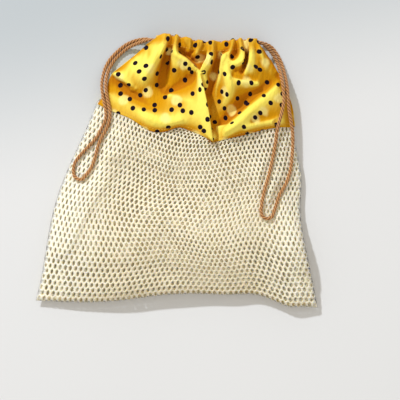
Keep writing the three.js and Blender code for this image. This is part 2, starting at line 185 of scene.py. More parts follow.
class Finish:
    """A material while it is being made. Steady settings are named as the shader's sockets."""

    def __init__(self, name, **steady):
        self.material = bpy.data.materials.new(name)
        self.material.use_nodes = True
        self.nodes = self.material.node_tree.nodes
        self.links = self.material.node_tree.links
        self.shader = self.nodes["Principled BSDF"]
        for socket, value in steady.items():
            self.shader.inputs[socket.replace("_", " ")].default_value = value

    def feed(self, socket, value):
        if isinstance(value, Value):
            self.links.new(value.socket, socket)
        else:
            socket.default_value = value

    def node(self, kind, settings=None, inputs=None, output=0):
        made = self.nodes.new(kind)
        for key, value in (settings or {}).items():
            setattr(made, key, value)
        for key, value in (inputs or {}).items():
            self.feed(made.inputs[key], value)
        return Value(self, made.outputs[output])

    def place(self):
        return self.node("ShaderNodeTexCoord", output="Object")

    def map(self, name="cloth"):
        return self.node("ShaderNodeUVMap", {"uv_map": name})

    def mark(self, name):
        return self.node("ShaderNodeAttribute", {"attribute_name": name}, output="Fac")

    def stretched(self, vector, scale):
        return self.node("ShaderNodeMapping", None, {"Vector": vector, "Scale": scale})

    def noise(self, vector, scale, detail=3, rough=0.5):
        inputs = {"Vector": vector, "Scale": scale, "Detail": detail, "Roughness": rough}
        return self.node("ShaderNodeTexNoise", None, inputs)

    def cells(self, vector, scale, randomness):
        """The distance from the nearest of many scattered points."""
        inputs = {"Vector": vector, "Scale": scale, "Randomness": randomness}
        return self.node("ShaderNodeTexVoronoi", {"voronoi_dimensions": "2D"}, inputs, "Distance")

    def part(self, vector, axis):
        return self.node("ShaderNodeSeparateXYZ", None, {0: vector}, axis)

    def step(self, value, low, high):
        """Goes smoothly from 0 at low to 1 at high."""
        inputs = {"Value": value, "From Min": low, "From Max": high}
        return self.node("ShaderNodeMapRange", {"interpolation_type": "SMOOTHSTEP"}, inputs)

    def mix(self, share, first, second, blend="MIX"):
        settings = {"data_type": "RGBA", "blend_type": blend}
        return self.node("ShaderNodeMix", settings, {0: share, 6: first, 7: second}, 2)

    def colour(self, value):
        self.feed(self.shader.inputs["Base Color"], value)

    def roughness(self, value):
        self.feed(self.shader.inputs["Roughness"], value)

    def relief(self, height, depth, strength=1.0):
        """Height from 0 to 1 over a depth in millimetres."""
        inputs = {"Height": height, "Distance": depth * MM, "Strength": strength}
        bump = self.node("ShaderNodeBump", None, inputs)
        self.feed(self.shader.inputs["Normal"], bump)


def net_finish():
    """Undyed cotton yarn: cream, with painted light that makes it paler at both sides of the bag and painted
    shade that makes it warmer in the holes' walls.
    """
    finish = Finish(
        "net_cotton", Sheen_Weight=0.2, Sheen_Roughness=0.5, Specular_IOR_Level=0.2,
        Subsurface_Weight=0.7, Subsurface_Radius=(1.0, 0.85, 0.6), Subsurface_Scale=0.0015,
    )
    place = finish.place()
    strand = finish.mark("strand")
    patches = finish.noise(place, 28, 3)
    yarn = finish.noise(place, 900, 4, 0.65)
    plain = finish.mix(patches, srgb(234, 224, 207), srgb(240, 232, 218))
    # Painted light: the net is coloured paler towards both sides of the bag.
    at_left = finish.step(finish.part(place, 0), -0.06, -0.11)
    at_right = finish.step(finish.part(place, 0), 0.07, 0.12)
    aside = at_left + at_right
    painted_light_at_sides = finish.mix(aside * 0.8, plain, srgb(247, 243, 234))
    soft = finish.mix(finish.step(yarn, 0.3, 0.7) * 0.3, painted_light_at_sides, srgb(226, 211, 178))
    # Painted shade: a warmer, darker colour on the holes' walls, and half as much on the back panel's
    # strands.
    painted_hole_shade = finish.mix((1 - strand) * 0.6, soft, srgb(240, 222, 172))
    finish.colour(painted_hole_shade)
    finish.roughness(0.86 + yarn * 0.12)
    twist = finish.part(finish.map("yarn"), 1) * 40 + yarn * 3
    finish.relief(twist.sine() * 0.3 + yarn, 0.35, 0.7)
    return finish.material


def cuff_finish():
    """Yellow crinkled cotton with scattered dark spots and paler blotches, and painted light and shade:
    paler on the crests of its folds and a deeper orange-brown in their valleys.
    """
    finish = Finish("cuff_cotton", Sheen_Weight=0.03, Sheen_Roughness=0.45, Specular_IOR_Level=0.12)
    cloth = finish.map()
    drift = finish.noise(cloth, 3, 2)
    threads = finish.noise(finish.stretched(cloth, (260, 40, 1)), 1, 2)
    cross_threads = finish.noise(finish.stretched(cloth, (40, 260, 1)), 1, 2)
    crinkle = finish.noise(finish.stretched(cloth, (34, 15, 1)), 1, 3, 0.6)
    # Painted light and painted shade: the fold mark turns the colour pale yellow on crests, deeper yellow on
    # slopes and orange-brown in valleys.
    crest = finish.mark("fold")
    deep = finish.mix(drift, srgb(208, 146, 3), srgb(215, 156, 7))
    high = finish.mix(drift, srgb(255, 233, 88), srgb(255, 240, 116))
    painted_crest_light = finish.mix(finish.step(crest, 0.34, 0.95), deep, high)
    painted_fold_light_and_shade = finish.mix(finish.step(crest, 0.0, 0.26), srgb(190, 119, 1), painted_crest_light)
    blotch_edge = finish.cells(cloth, 3.3, 0.8) + finish.noise(cloth, 7, 2) * 0.26
    blotches = 1 - finish.step(blotch_edge, 0.24, 0.37)
    blotched = finish.mix(blotches * 0.72, painted_fold_light_and_shade, srgb(255, 242, 150))
    spot_edge = finish.cells(cloth, 6.7, 0.9) + threads * 0.01
    spots = 1 - finish.step(spot_edge, 0.172, 0.19)
    spotted = finish.mix(spots, blotched, srgb(24, 8, 24))
    woven = finish.mix(threads * 0.12, spotted, srgb(222, 168, 60), "MULTIPLY")
    finish.colour(woven)
    finish.roughness(0.78 + threads * 0.15)
    finish.relief(crinkle + (threads + cross_threads) * 0.12, 1.3, 0.8)
    return finish.material


def cord_finish():
    """Tan twisted cotton, light along the strands, with painted shade that makes it brown in the grooves
    between them.
    """
    finish = Finish("cord_cotton", Sheen_Weight=0.3, Sheen_Roughness=0.4)
    lay = finish.map("yarn")
    crest = finish.mark("crest")
    fibres = finish.noise(finish.stretched(lay, (26, 90, 1)), 1, 4, 0.65)
    slow = finish.noise(finish.place(), 60, 2)
    tan = finish.mix(slow, srgb(184, 122, 62), srgb(202, 144, 84))
    hairy = finish.mix(finish.step(fibres, 0.35, 0.75) * 0.6, tan, srgb(222, 174, 118))
    # Painted shade: brown in the grooves between the strands.
    painted_groove_shade = finish.mix(finish.step(crest, 0.0, 0.55), srgb(112, 66, 30), hairy)
    finish.colour(painted_groove_shade)
    finish.roughness(0.7 + fibres * 0.2)
    finish.relief(fibres, 0.3, 0.8)
    return finish.material


def thread_finish(name, light, dark):
    """Sewing thread with a fine twist."""
    finish = Finish(name, Sheen_Weight=0.2, Roughness=0.6)
    twist = finish.noise(finish.place(), 1400, 2)
    finish.colour(finish.mix(twist, dark, light))
    finish.relief(twist, 0.15, 0.6)
    return finish.material


# The record's material slots, each with its finish
FINISHES = {
    "cord_cotton": cord_finish(),
    "net_cotton": net_finish(),
    "cuff_cotton": cuff_finish(),
    "cream_thread": thread_finish("cream_thread", srgb(246, 238, 218), srgb(216, 200, 168)),
    "yellow_thread": thread_finish("yellow_thread", srgb(244, 200, 70), srgb(206, 150, 30)),
}

# Where each half of the cuff starts to go with the mouth's end: a place, the way up from it and how far
# it takes until the cloth goes all the way with it
BLENDS = {
    "left": ((-38.2, 97.5), (-0.543, 0.84), 19.3),
    "right": ((57.7, 92), (0.661, 0.75), 23.5),
}


def follow_mouth(piece, side):
    """Bakes a piece of the cuff's placing into its points. Where it would start to go with the mouth's end,
    and where all the way, are worked out but not used.
    """
    place, way, reach = BLENDS[side]
    start = (place[0] * MM, place[1] * MM, MOUTH_MIDDLE * MM)
    end = (start[0] + way[0] * reach * MM, start[1] + way[1] * reach * MM, MOUTH_MIDDLE * MM)
    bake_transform(piece)


def fitted(piece, slot, carrier, *nodes):
    """Gives a piece the finish of a slot, puts it under the body that carries it and hides the nodes that it
    stands for.
    For left or right, a half of the cuff, no body carries it: its placing is only baked into its points."""
    piece.data.materials.append(FINISHES[slot])
    if carrier in BLENDS:
        follow_mouth(piece, carrier)
    else:
        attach(piece, carrier)
    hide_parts(*nodes)


# Mesh helpers

CURVE_STEPS = 16


def mesh_piece(name, points, faces, maps=None, marks=None):
    """A piece from points in millimetres and lists of equal-sided faces.
    Maps hold a pair for each corner of each face, and marks one number for each point."""
    data = bpy.data.meshes.new(name)
    points = np.asarray(points, float).reshape(-1, 3) * MM
    faces = [np.asarray(group, int) for group in faces if len(group)]
    corners = np.concatenate([group.ravel() for group in faces])
    sizes = np.concatenate([np.full(len(group), group.shape[1]) for group in faces])
    starts = np.concatenate([[0], np.cumsum(sizes)[:-1]])
    data.vertices.add(len(points))
    data.vertices.foreach_set("co", points.ravel())
    data.loops.add(len(corners))
    data.loops.foreach_set("vertex_index", corners)
    data.polygons.add(len(sizes))
    data.polygons.foreach_set("loop_start", starts)
    data.polygons.foreach_set("use_smooth", np.full(len(sizes), True))
    data.update(calc_edges=True)
    for map_name, pairs in (maps or {}).items():
        layer = data.uv_layers.new(name=map_name)
        layer.data.foreach_set("uv", np.asarray(pairs, float).ravel())
    for mark_name, values in (marks or {}).items():
        layer = data.attributes.new(mark_name, "FLOAT", "POINT")
        layer.data.foreach_set("value", np.asarray(values, np.float32).ravel())
    data.validate()
    piece = bpy.data.objects.new(name, data)
    bpy.context.scene.collection.objects.link(piece)
    return piece


def apply_modifier(piece, kind, **settings):
    """Adds one modifier to a piece and applies it."""
    bpy.ops.object.select_all(action="DESELECT")
    piece.select_set(True)
    bpy.context.view_layer.objects.active = piece
    modifier = piece.modifiers.new(kind.lower(), kind)
    for key, value in settings.items():
        setattr(modifier, key, value)
    bpy.ops.object.modifier_apply(modifier=modifier.name)


def grid_faces(rows, columns, closed=False):
    """Quads of a grid of points, which may close on itself across."""
    quads_across = columns if closed else columns - 1
    i, j = np.meshgrid(np.arange(rows - 1), np.arange(quads_across), indexing="ij")
    after = (j + 1) % columns
    corners = [i * columns + j, i * columns + after, (i + 1) * columns + after, (i + 1) * columns + j]
    return np.stack([corner.ravel() for corner in corners], axis=1)


def distance_along(line):
    """How far along a line each of its points lies."""
    return np.concatenate([[0], np.cumsum(np.linalg.norm(np.diff(line, axis=0), axis=1))])


def read_along(wanted, reach, values):
    """The values, given at distances along a line, at the wanted distances."""
    return np.stack([np.interp(wanted, reach, values[:, axis]) for axis in range(values.shape[1])], axis=1)


def smooth_line(points, count=None, step=None):
    """Evenly spaced points on a smooth line through the given ones, by count or by step.
    Each stretch is a cubic curve whose knots lie apart by the root of the points' distance."""
    points = np.asarray(points, float)
    ends = np.vstack([2 * points[0] - points[1], points, 2 * points[-1] - points[-2]])
    knots = np.concatenate([[0], np.cumsum(np.sqrt(np.linalg.norm(np.diff(ends, axis=0), axis=1)))])
    dense = []
    for k in range(1, len(ends) - 2):
        a, b, c, d = ends[k - 1 : k + 3]
        ta, tb, tc, td = knots[k - 1 : k + 3]
        t = np.linspace(tb, tc, CURVE_STEPS + 1)[:-1, None]
        ab = a + (b - a) * (t - ta) / (tb - ta)
        bc = b + (c - b) * (t - tb) / (tc - tb)
        cd = c + (d - c) * (t - tc) / (td - tc)
        abc = ab + (bc - ab) * (t - ta) / (tc - ta)
        bcd = bc + (cd - bc) * (t - tb) / (td - tb)
        dense.append(abc + (bcd - abc) * (t - tb) / (tc - tb))
    dense = np.vstack(dense + [points[-1:]])
    reach = distance_along(dense)
    count = count or int(round(reach[-1] / step)) + 1
    return read_along(np.linspace(0, reach[-1], count), reach, dense)


def cross_ways(line):
    """Two unit directions across a line at each of its points, which don't spin round it."""
    ways = np.gradient(line, axis=0)
    ways /= np.linalg.norm(ways, axis=1)[:, None]
    side = np.cross(ways[0], [0, 0, 1.0])
    side /= np.linalg.norm(side)
    sides = []
    for way in ways:
        side = side - way * (side @ way)
        side /= np.linalg.norm(side)
        sides.append(side)
    sides = np.array(sides)
    return sides, np.cross(sides, ways)


def ring_angles(count):
    """Angles evenly round a circle."""
    return np.arange(count) * 2 * math.pi / count


def tube(name, line, radii, turn=0.0, marks=None, flat=1.0):
    """A closed tube along a line. Radii are one ring's, and turn adds an angle at each step."""
    sides, ups = cross_ways(line)
    steps = np.arange(len(line))[:, None]
    around = ring_angles(len(radii)) + turn * steps
    rings = (
        line[:, None, :]
        + sides[:, None, :] * (radii * np.cos(around))[:, :, None]
        + ups[:, None, :] * (radii * np.sin(around) * flat)[:, :, None]
    )
    rows, columns = rings.shape[:2]
    points = np.vstack([rings.reshape(-1, 3), line[:1], line[-1:]])
    faces = grid_faces(rows, columns, closed=True)[:, ::-1]
    j = np.arange(columns)
    after = (j + 1) % columns
    last = (rows - 1) * columns
    first_cap = np.stack([np.full(columns, rows * columns), j, after], axis=1)[:, ::-1]
    last_cap = np.stack([np.full(columns, rows * columns + 1), last + after, last + j], axis=1)[:, ::-1]
    reach = distance_along(line)
    ring = np.arange(len(faces)) // columns
    spot = np.arange(len(faces)) % columns
    pairs = np.zeros((len(faces), 4, 2))
    pairs[:, :, 0] = np.stack([spot, spot + 1, spot + 1, spot], axis=1)[:, ::-1] / columns
    pairs[:, :, 1] = np.stack([ring, ring, ring + 1, ring + 1], axis=1)[:, ::-1]
    pairs[:, :, 1] = np.interp(pairs[:, :, 1], np.arange(rows), reach) / 10
    caps = np.full((columns * 2 * 3, 2), 0.5)
    maps = {"yarn": np.vstack([pairs.reshape(-1, 2), caps])}
    marks = marks or {}
    spread = {key: np.concatenate([np.tile(ring_marks, rows), [0, 0]]) for key, ring_marks in marks.items()}
    return mesh_piece(name, points, [faces, np.vstack([first_cap, last_cap])], maps, spread)


# Drawstrings

STRANDS = 3
LAY_LENGTH = 11
ROPE_STEP = 0.6
RING_POINTS = 24
STRAND_MIDDLE = 0.536
GROOVE = 0.7
FUZZ = 0.15
PATH_STEP = 2.5

# Where each cord turns back inside the far end of the channel
LEFT_CORD_TURN = 53.6
RIGHT_CORD_TURN = -26.6

# Each loop's route, from the front length of the channel round to the back one
LEFT_EXITS = [(-36.3, 129.1, 17.75), (-36.3, 129.1, 5.45)]
LEFT_LOOP = [
    (-39.5, 129, 17.2), (-45.4, 128.6, 14), (-61.4, 122.3, 4.3), (-67.4, 118.1, 2.4), (-76.8, 108, 2.3),
    (-80, 102.1, 3.6), (-82.4, 95.5, 6.4), (-83.6, 83.5, 12.4), (-82.1, 73.5, 14.8), (-77.5, 55.2, 16.6),
    (-77.5, 46.7, 16.5), (-80.4, 37.4, 16.5), (-84.6, 28.5, 16.5), (-87.4, 19.9, 16.6), (-89.4, 9.4, 17.4),
    (-92.6, -1.1, 18), (-96.9, -8.2, 17.8), (-100.2, -12.4, 17), (-105, -13.1, 15.6), (-109, -10.1, 14),
    (-110.4, -4.2, 12.4), (-109.6, 2, 11.6), (-105.5, 9.5, 12), (-89.8, 28.5, 15.2), (-84.8, 38.6, 15.4),
    (-81.5, 47.3, 15.3), (-81.4, 54.8, 15), (-83.2, 62.4, 15), (-86, 72.7, 12.8), (-87.5, 83.1, 9.8),
    (-86.2, 96.5, 4.8), (-83.7, 103.7, 2.8), (-80, 110.2, 2), (-69.8, 121.1, 2), (-63.4, 125.7, 2),
    (-55.1, 129.2, 2.4), (-45.6, 130.6, 4.2), (-39.5, 129.4, 5.2),
]
RIGHT_EXITS = [(63.3, 133.3, 17.75), (63.3, 133.3, 5.45)]
RIGHT_LOOP = [
    (66.5, 133.2, 17.2), (70.2, 132, 14.5), (75.4, 128.2, 9.5), (81.1, 122.2, 5.2), (85.1, 115.6, 4.6),
    (89.7, 101.5, 13.3), (91.7, 93.6, 16.3), (93.8, 78.4, 17.8), (92.9, 67.7, 18.4), (90.2, 54.3, 18.9),
    (88.7, 44.5, 18.2), (88.3, 35.3, 17.2), (86.6, 21.8, 17.9), (83.2, 1.5, 20.5), (79.8, -13.5, 22.9),
    (78, -25.5, 24.9), (77.9, -34.3, 25.8), (79.7, -38.7, 26), (84.1, -40.5, 25.6), (88.5, -38.7, 24.6),
    (90.3, -34.3, 23.5), (92, -27.6, 21.8), (95, -16.6, 19.4), (100.6, -5.5, 16.4), (104.1, 5.5, 14),
    (105.6, 20.3, 12.4), (104.8, 45.9, 11.4), (102.6, 56, 13.2), (100, 67, 15), (97.9, 78.8, 15.6),
    (97, 87, 14.5), (95.6, 94.4, 12.2), (91.4, 110.1, 4.6), (88.5, 117.4, 2.4), (84.1, 124.6, 2),
    (77.8, 131, 2.6), (70.2, 133.6, 4.6), (66.5, 133.4, 5.3),
]

# The lengths of the loops that lie on the bag
CORDS_ON_CLOTH = [LEFT_LOOP[7:30], RIGHT_LOOP[5:32]]


def sag_share(u):
    """How far the mouth's edge hangs in, from 0 at its ends to 1 in the middle."""
    return (1 - np.minimum(1, np.abs(u) / GATHER_SHARE) ** 2) ** 2


def sag_at(x):
    """The sag of the mouth at a place across the bag, in millimetres."""
    return MOUTH_SAG * sag_share((np.asarray(x, float) - MOUTH_SHIFT) / (MOUTH_WIDTH / 2))


def run_route(exits, lane, turn_middle):
    """A drawstring in its channel: across the front, round the far end and back along the back."""
    start = exits[0][0]
    radius = (FRONT_LANE - BACK_LANE) / 2
    side = math.copysign(1, turn_middle - start)
    places = [start + (turn_middle - start) * k / 9 for k in range(10)]
    front = [(x, lane - float(sag_at(x)), FRONT_LANE) for x in places]
    turn = []
    for k in range(1, 8):
        angle = math.pi * k / 8
        x = turn_middle + side * radius * math.sin(angle)
        turn.append((x, lane, MOUTH_MIDDLE + radius * math.cos(angle)))
    back = [(x, y, BACK_LANE) for x, y, _ in reversed(front)]
    return front + turn + back


def make_rope(name, route):
    """A cord of three strands laid round each other, and the line that it follows."""
    line = smooth_line(route, step=ROPE_STEP)
    radius = CORD_DIAMETER / 2 + FUZZ
    middle = STRAND_MIDDLE * radius
    strand = radius - middle
    off = (ring_angles(RING_POINTS) + math.pi / STRANDS) % (2 * math.pi / STRANDS) - math.pi / STRANDS
    lobes = middle * np.cos(off) + np.sqrt(np.maximum(0, strand**2 - (middle * np.sin(off)) ** 2))
    radii = np.maximum(lobes, GROOVE * radius)
    # The crest mark carries the cord's painted shade: 0 in the grooves, 1 on the strands.
    crest = (radii / radius - GROOVE) / (1 - GROOVE)
    turn = 2 * math.pi * ROPE_STEP / LAY_LENGTH
    return tube(name, line, radii, turn, {"crest": crest}), line


def make_drawstring(side, exits, loop, lane, turn_middle):
    """One drawstring: its free loop and the length that runs through the channel."""
    route = [exits[0], *loop, exits[1]]
    piece, line = make_rope(f"{side}_loop_cord", route)
    fitted(piece, "cord_cotton", f"{side}_drawstring", f"{side}_drawstring_loop")
    smooth_line(route, step=PATH_STEP) * MM
    run, _ = make_rope(f"{side}_channel_cord", run_route(exits, lane, turn_middle))
    fitted(run, "cord_cotton", f"{side}_drawstring", f"{side}_drawstring_run")


# The bag's surface. A place on it is u, from its left side (-1) to its right side (1),
# and v, from its bottom (0) over the join (1) to the stitch row under the channel (2)

LAP_INSET = 1.8
LEFT_SWELL = 5
RIGHT_SWELL = 5
SIDE_HEIGHT = 6
CROWN = 27
CROWN_AT_JOIN = 15
CROWN_AT_MOUTH = 5.95
FRONT_ROUNDING = 80
BACK_ROUNDING = 14
LAP_START = 0.06
CORD_CLEARANCE = 0.3
NET_INSET = NET_THICKNESS / 2


def clamp01(t):
    return np.clip(t, 0, 1)


def mix(a, b, t):
    """Goes evenly from a at 0 to b at 1."""
    return a + (b - a) * t


def ease(t):
    """Goes smoothly from 0 to 1, and stays there."""
    t = clamp01(t)
    return t * t * (3 - 2 * t)


def half_width(v):
    """Half the bag's width, which narrows in a curve from the join to the mouth."""
    shoulder = (JOIN_WIDTH - MOUTH_WIDTH) / 2 * clamp01(v - 1) ** 1.8
    return mix(BOTTOM_WIDTH, JOIN_WIDTH, clamp01(v)) / 2 - shoulder


def shift(v):
    """How far the bag's middle lies to the right: nothing at the bottom, most at the mouth."""
    return MOUTH_SHIFT * ease((v - 0.4) / 1.2) - 2 * np.sin(math.pi * v) ** 2


def bottom_edge(u):
    """The bottom's place along the bag: a wavy edge that hangs a little at the left and the right."""

    def bow(place):
        return np.cos(0.9 * math.pi * (place - 0.15))

    slack = 3.7 * np.exp(-(((u + 0.45) / 0.35) ** 2)) + 2.8 * np.exp(-(((u - 0.8) / 0.08) ** 2))
    lift = 4.2 * np.exp(-(((u - 0.54) / 0.14) ** 2))
    return -TOP + 4 * (u + 1) + 6 * (bow(u) - bow(-1)) - slack + lift


def join_edge(u):
    """The join's place along the bag: it dips towards the split in the cuff."""
    left = 1 - ((u - 0.2) / 1.2) ** 2
    right = (1 - np.maximum(0, u - 0.2) / 0.8) ** 1.4
    return STITCH_LINE - CUFF_SIDE_LENGTH - 6 * u - 25 * np.where(u < 0.2, left, right)


def place_across(u, v, inset):
    """The place across the bag, whose sides swell out a little below the cuff."""
    left = LEFT_SWELL * np.sin(math.pi * clamp01(v)) ** 2 * ease(-u)
    right = RIGHT_SWELL * np.exp(-(((v - 0.72) / 0.15) ** 2)) * ease(u)
    return shift(v) + u * (half_width(v) - inset) - left + right


def middle_height(v):
    """The height of the bag's side edges over the table."""
    return mix(SIDE_HEIGHT, MOUTH_MIDDLE, ease(v - 1))


def place_along(u, v):
    """The place along the bag, from the bottom over the join to the stitch row."""
    low = mix(bottom_edge(u), join_edge(u), v)
    high = mix(join_edge(u), STITCH_LINE - MOUTH_SAG * sag_share(u), v - 1)
    return np.where(v <= 1, low, high)


def bag_place(x, y):
    """Where a place seen from above lies on the bag, from its side and its bottom."""
    v = np.ones_like(x)
    for _ in range(12):
        u = np.clip((x - shift(v)) / half_width(v), -1, 1)
        low, join, high = bottom_edge(u), join_edge(u), STITCH_LINE - MOUTH_SAG * sag_share(u)
        v = np.where(y < join, (y - low) / (join - low), 1 + (y - join) / (high - join))
    return u, v


# Soft folds of the net: a line with its width, and the height of the fold at its start and at its end
NET_FOLDS = {
    "crease below the split": ([(24, 44), (27, 31), (31, 21), (36.5, 10.5), (47, 0)], 3.5, -6, -1),
    "swell left of the crease": ([(14, 36), (17, 31.5), (24, 22.5), (31, 14), (38, 3)], 4.5, 4, 1.5),
    "swell at the left": ([(-118, -84), (-100, -40), (-84, -12), (-72, 8)], 9, 4, 3),
    "swell over the hollow": ([(-78, 26), (-52, 16), (-22, 6)], 10, 3, 2),
    "hollow under it": ([(-62, -2), (-38, -14), (-10, -22)], 12, -3.5, -2.5),
    "slack at the right": ([(60, -14), (86, -52), (112, -104)], 11, -3, -2.5),
    "swell at the right": ([(78, 6), (104, -40), (122, -84)], 9, 2, 2.5),
    "slack above the bottom": ([(-90, -108), (-20, -100), (40, -104), (104, -112)], 10, -2, -2),
}
NET_FOLD_POINTS = 15

# Slack waves of the net: their height, how fast they turn across and up, and where they start
NET_WAVES = [(0.7, 0.045, 0.081, 0.4), (0.5, -0.072, 0.052, 2.1), (0.35, 0.121, -0.034, 4.0)]

# The bed that a cord presses into the cloth: half its flat width, and how steeply it rises beside that
BED_WIDTH = 2
BED_RISE = 0.12


def net_ripple(x, y):
    """Slack waves and soft folds of the net, in millimetres."""
    height = sum(rise * np.sin(a * x + b * y + start) for rise, a, b, start in NET_WAVES)
    for line, width, start_rise, end_rise in NET_FOLDS.values():
        line = smooth_line(line, NET_FOLD_POINTS)
        share = np.linspace(0, 1, NET_FOLD_POINTS)
        distance = np.hypot(x[..., None] - line[:, 0], y[..., None] - line[:, 1])
        near = np.exp(-((distance / width) ** 2))
        rises = mix(start_rise, end_rise, share)
        total = near.sum(axis=-1)
        height = height + (near * rises).sum(axis=-1) / np.maximum(total, 0.02) * np.minimum(1, total)
    return height


def under_cords(x, y, z, below):
    """Heights of the cloth, pressed down to the given distance below the cords that lie on it."""
    for loop in CORDS_ON_CLOTH:
        line = smooth_line(loop, step=BED_WIDTH)
        distance = np.hypot(x[..., None] - line[:, 0], y[..., None] - line[:, 1])
        room = line[:, 2] - below + BED_RISE * np.maximum(0, distance - BED_WIDTH) ** 2
        z = np.minimum(z, room.min(axis=-1))
    return z


def net_place(u, v):
    """The places across and along of the net's middle, which lies a little inside the bag's outline."""
    x = place_across(u, v, NET_INSET + LAP_INSET * ease((v - 1) / LAP_START))
    return x, place_along(u, v) + NET_INSET * (1 - clamp01(v))


def front_net(u, v):
    """The middle of the front net's thickness."""
    x, y = net_place(u, v)
    net_crown = mix(CROWN, CROWN_AT_JOIN, ease((v - 0.3) / 0.7))
    crown = np.where(v < 1, net_crown, mix(CROWN_AT_JOIN, CROWN_AT_MOUTH, ease(v - 1)))
    power = mix(2.6, 8, ease(v - 1))
    section = (1 - np.abs(u) ** power) ** 0.75
    steep = (1 - np.abs(u) ** 14) ** 0.5 * mix(1, 0.85, np.abs(u))
    low_right = ease(u * 3 - 1.4) * (1 - ease((v - 0.3) / 0.35))
    section = mix(section, np.maximum(section, steep), low_right)
    roll = np.sqrt(1 - (1 - clamp01(v * CUFF_TO_BOTTOM / FRONT_ROUNDING)) ** 1.9)
    free = roll * section
    z = middle_height(v) + 0.2 + free * (crown - NET_INSET) + clamp01(free * 2) * net_ripple(x, y)
    z = under_cords(x, y, z, CORD_DIAMETER / 2 + NET_INSET + CORD_CLEARANCE)
    return np.stack([x, y, z], axis=-1)


def back_section(u, v):
    """How far down the back has come, from 0 at its sides to 1 where it lies flat."""
    edge = BACK_ROUNDING / half_width(v)
    return np.sqrt(1 - clamp01((np.abs(u) - 1 + edge) / edge) ** 2)


def back_net(u, v):
    """The middle of the back net's thickness, flat on the table."""
    x, y = net_place(u, v)
    section = back_section(u, v)
    roll = np.sqrt(1 - (1 - clamp01(v * CUFF_TO_BOTTOM / BACK_ROUNDING)) ** 2)
    lowest = mix(2.2 * ease((v - 0.85) / 0.1), BACK_LANE, ease(v - 1))
    middle = middle_height(v) - 0.2
    z = middle - roll * section * (middle - lowest - NET_INSET)
    return np.stack([x, y, z], axis=-1)


# Net panels

COLUMNS = 53
ROWS = 41
HOLE_SIZES = {"front": (0.275, 0.4), "back": (0.13, 0.2)}
HOLE_SPREAD = (0.86, 1.12)
HOLE_TIPS = 0.12
LEFT_HOLES = 0.56
EDGE_HOLES = 0.75
NET_TOP = 1 + LAP / CUFF_SIDE_LENGTH
STRAND_RISE = 0.8
RIM_RISE = 0.24
SHAKEN = 0.05
NEAR = 1e-6

# The twelve corners of a cell round its middle, in quarters of a column and sixths of a row
QUARTERS = 4
SIXTHS = 6
CELL_CORNERS = [
    (0, 4), (-1, 3), (-2, 2), (-2, 0), (-2, -2), (-1, -3), (0, -4), (1, -3), (2, -2), (2, 0), (2, 2), (1, 3),
]


def surface_offset(surface, u, v, offset):
    """Points of a surface moved along its upward normal."""
    nudge = 0.002
    inward = np.clip(u, -0.99, 0.99)
    sideways = surface(inward + nudge, v) - surface(inward - nudge, v)
    upward = surface(inward, v + nudge) - surface(inward, v - nudge)
    normal = np.cross(sideways, upward)
    normal /= np.linalg.norm(normal, axis=-1)[..., None]
    return surface(u, v) + normal * offset[..., None]


def net_cells():
    """The middles of the cells in staggered rows, the corners between them, and each cell's own corners."""
    centres = [
        (column + (0.5 if row % 2 == 0 else 1.0), row)
        for row in range(ROWS)
        for column in range(COLUMNS if row % 2 == 0 else COLUMNS - 1)
    ]
    centres = np.array(centres)
    keys = np.rint(centres[:, None, :] * [QUARTERS, SIXTHS]).astype(int) + np.array(CELL_CORNERS)[None]
    unique, index = np.unique(keys.reshape(-1, 2), axis=0, return_inverse=True)
    return centres, unique[:, 0] / QUARTERS, unique[:, 1] / SIXTHS, index.reshape(len(centres), -1)


def straightened(x, y):
    """The corners with the outermost ones moved out to four straight edges, and which ones those are."""
    low = y <= -1 / 3 + NEAR
    high = y >= ROWS - 1 + 1 / 3 - NEAR
    between = ~(low | high)
    left = between & (x <= 0.5 + NEAR)
    right = between & (x >= COLUMNS - 0.5 - NEAR)
    rim = low | high | left | right | (x <= NEAR) | (x >= COLUMNS - NEAR)
    x = np.where(left, 0, np.where(right, COLUMNS, x))
    y = np.where(low, -0.5, np.where(high, ROWS - 0.5, y))
    return x, y, rim


def hole_shares(place, share):
    """How wide the holes stand open at a place across and a share up the net: narrower at both sides
    and across the middle, wider at the lower right and below the cuff."""
    from_left = ease((place - 0.12) / 0.25)
    at_bottom = 1 - ease((share - 0.1) / 0.2)
    drawn = mix(LEFT_HOLES, 1, np.maximum(from_left, 0.8 * at_bottom))
    drawn -= 0.24 * np.exp(-(((share - 0.4) / 0.13) ** 2)) * ease((place - 0.4) / 0.2)
    drawn += 0.14 * ease((place - 0.6) / 0.3) * (1 - ease((share - 0.1) / 0.12))
    drawn += 0.1 * np.exp(-(((share - 0.78) / 0.14) ** 2) - ((place - 0.5) / 0.2) ** 2)
    drawn -= 0.18 * ease((place - 0.66) / 0.15) * ease((share - 0.2) / 0.1)
    return drawn


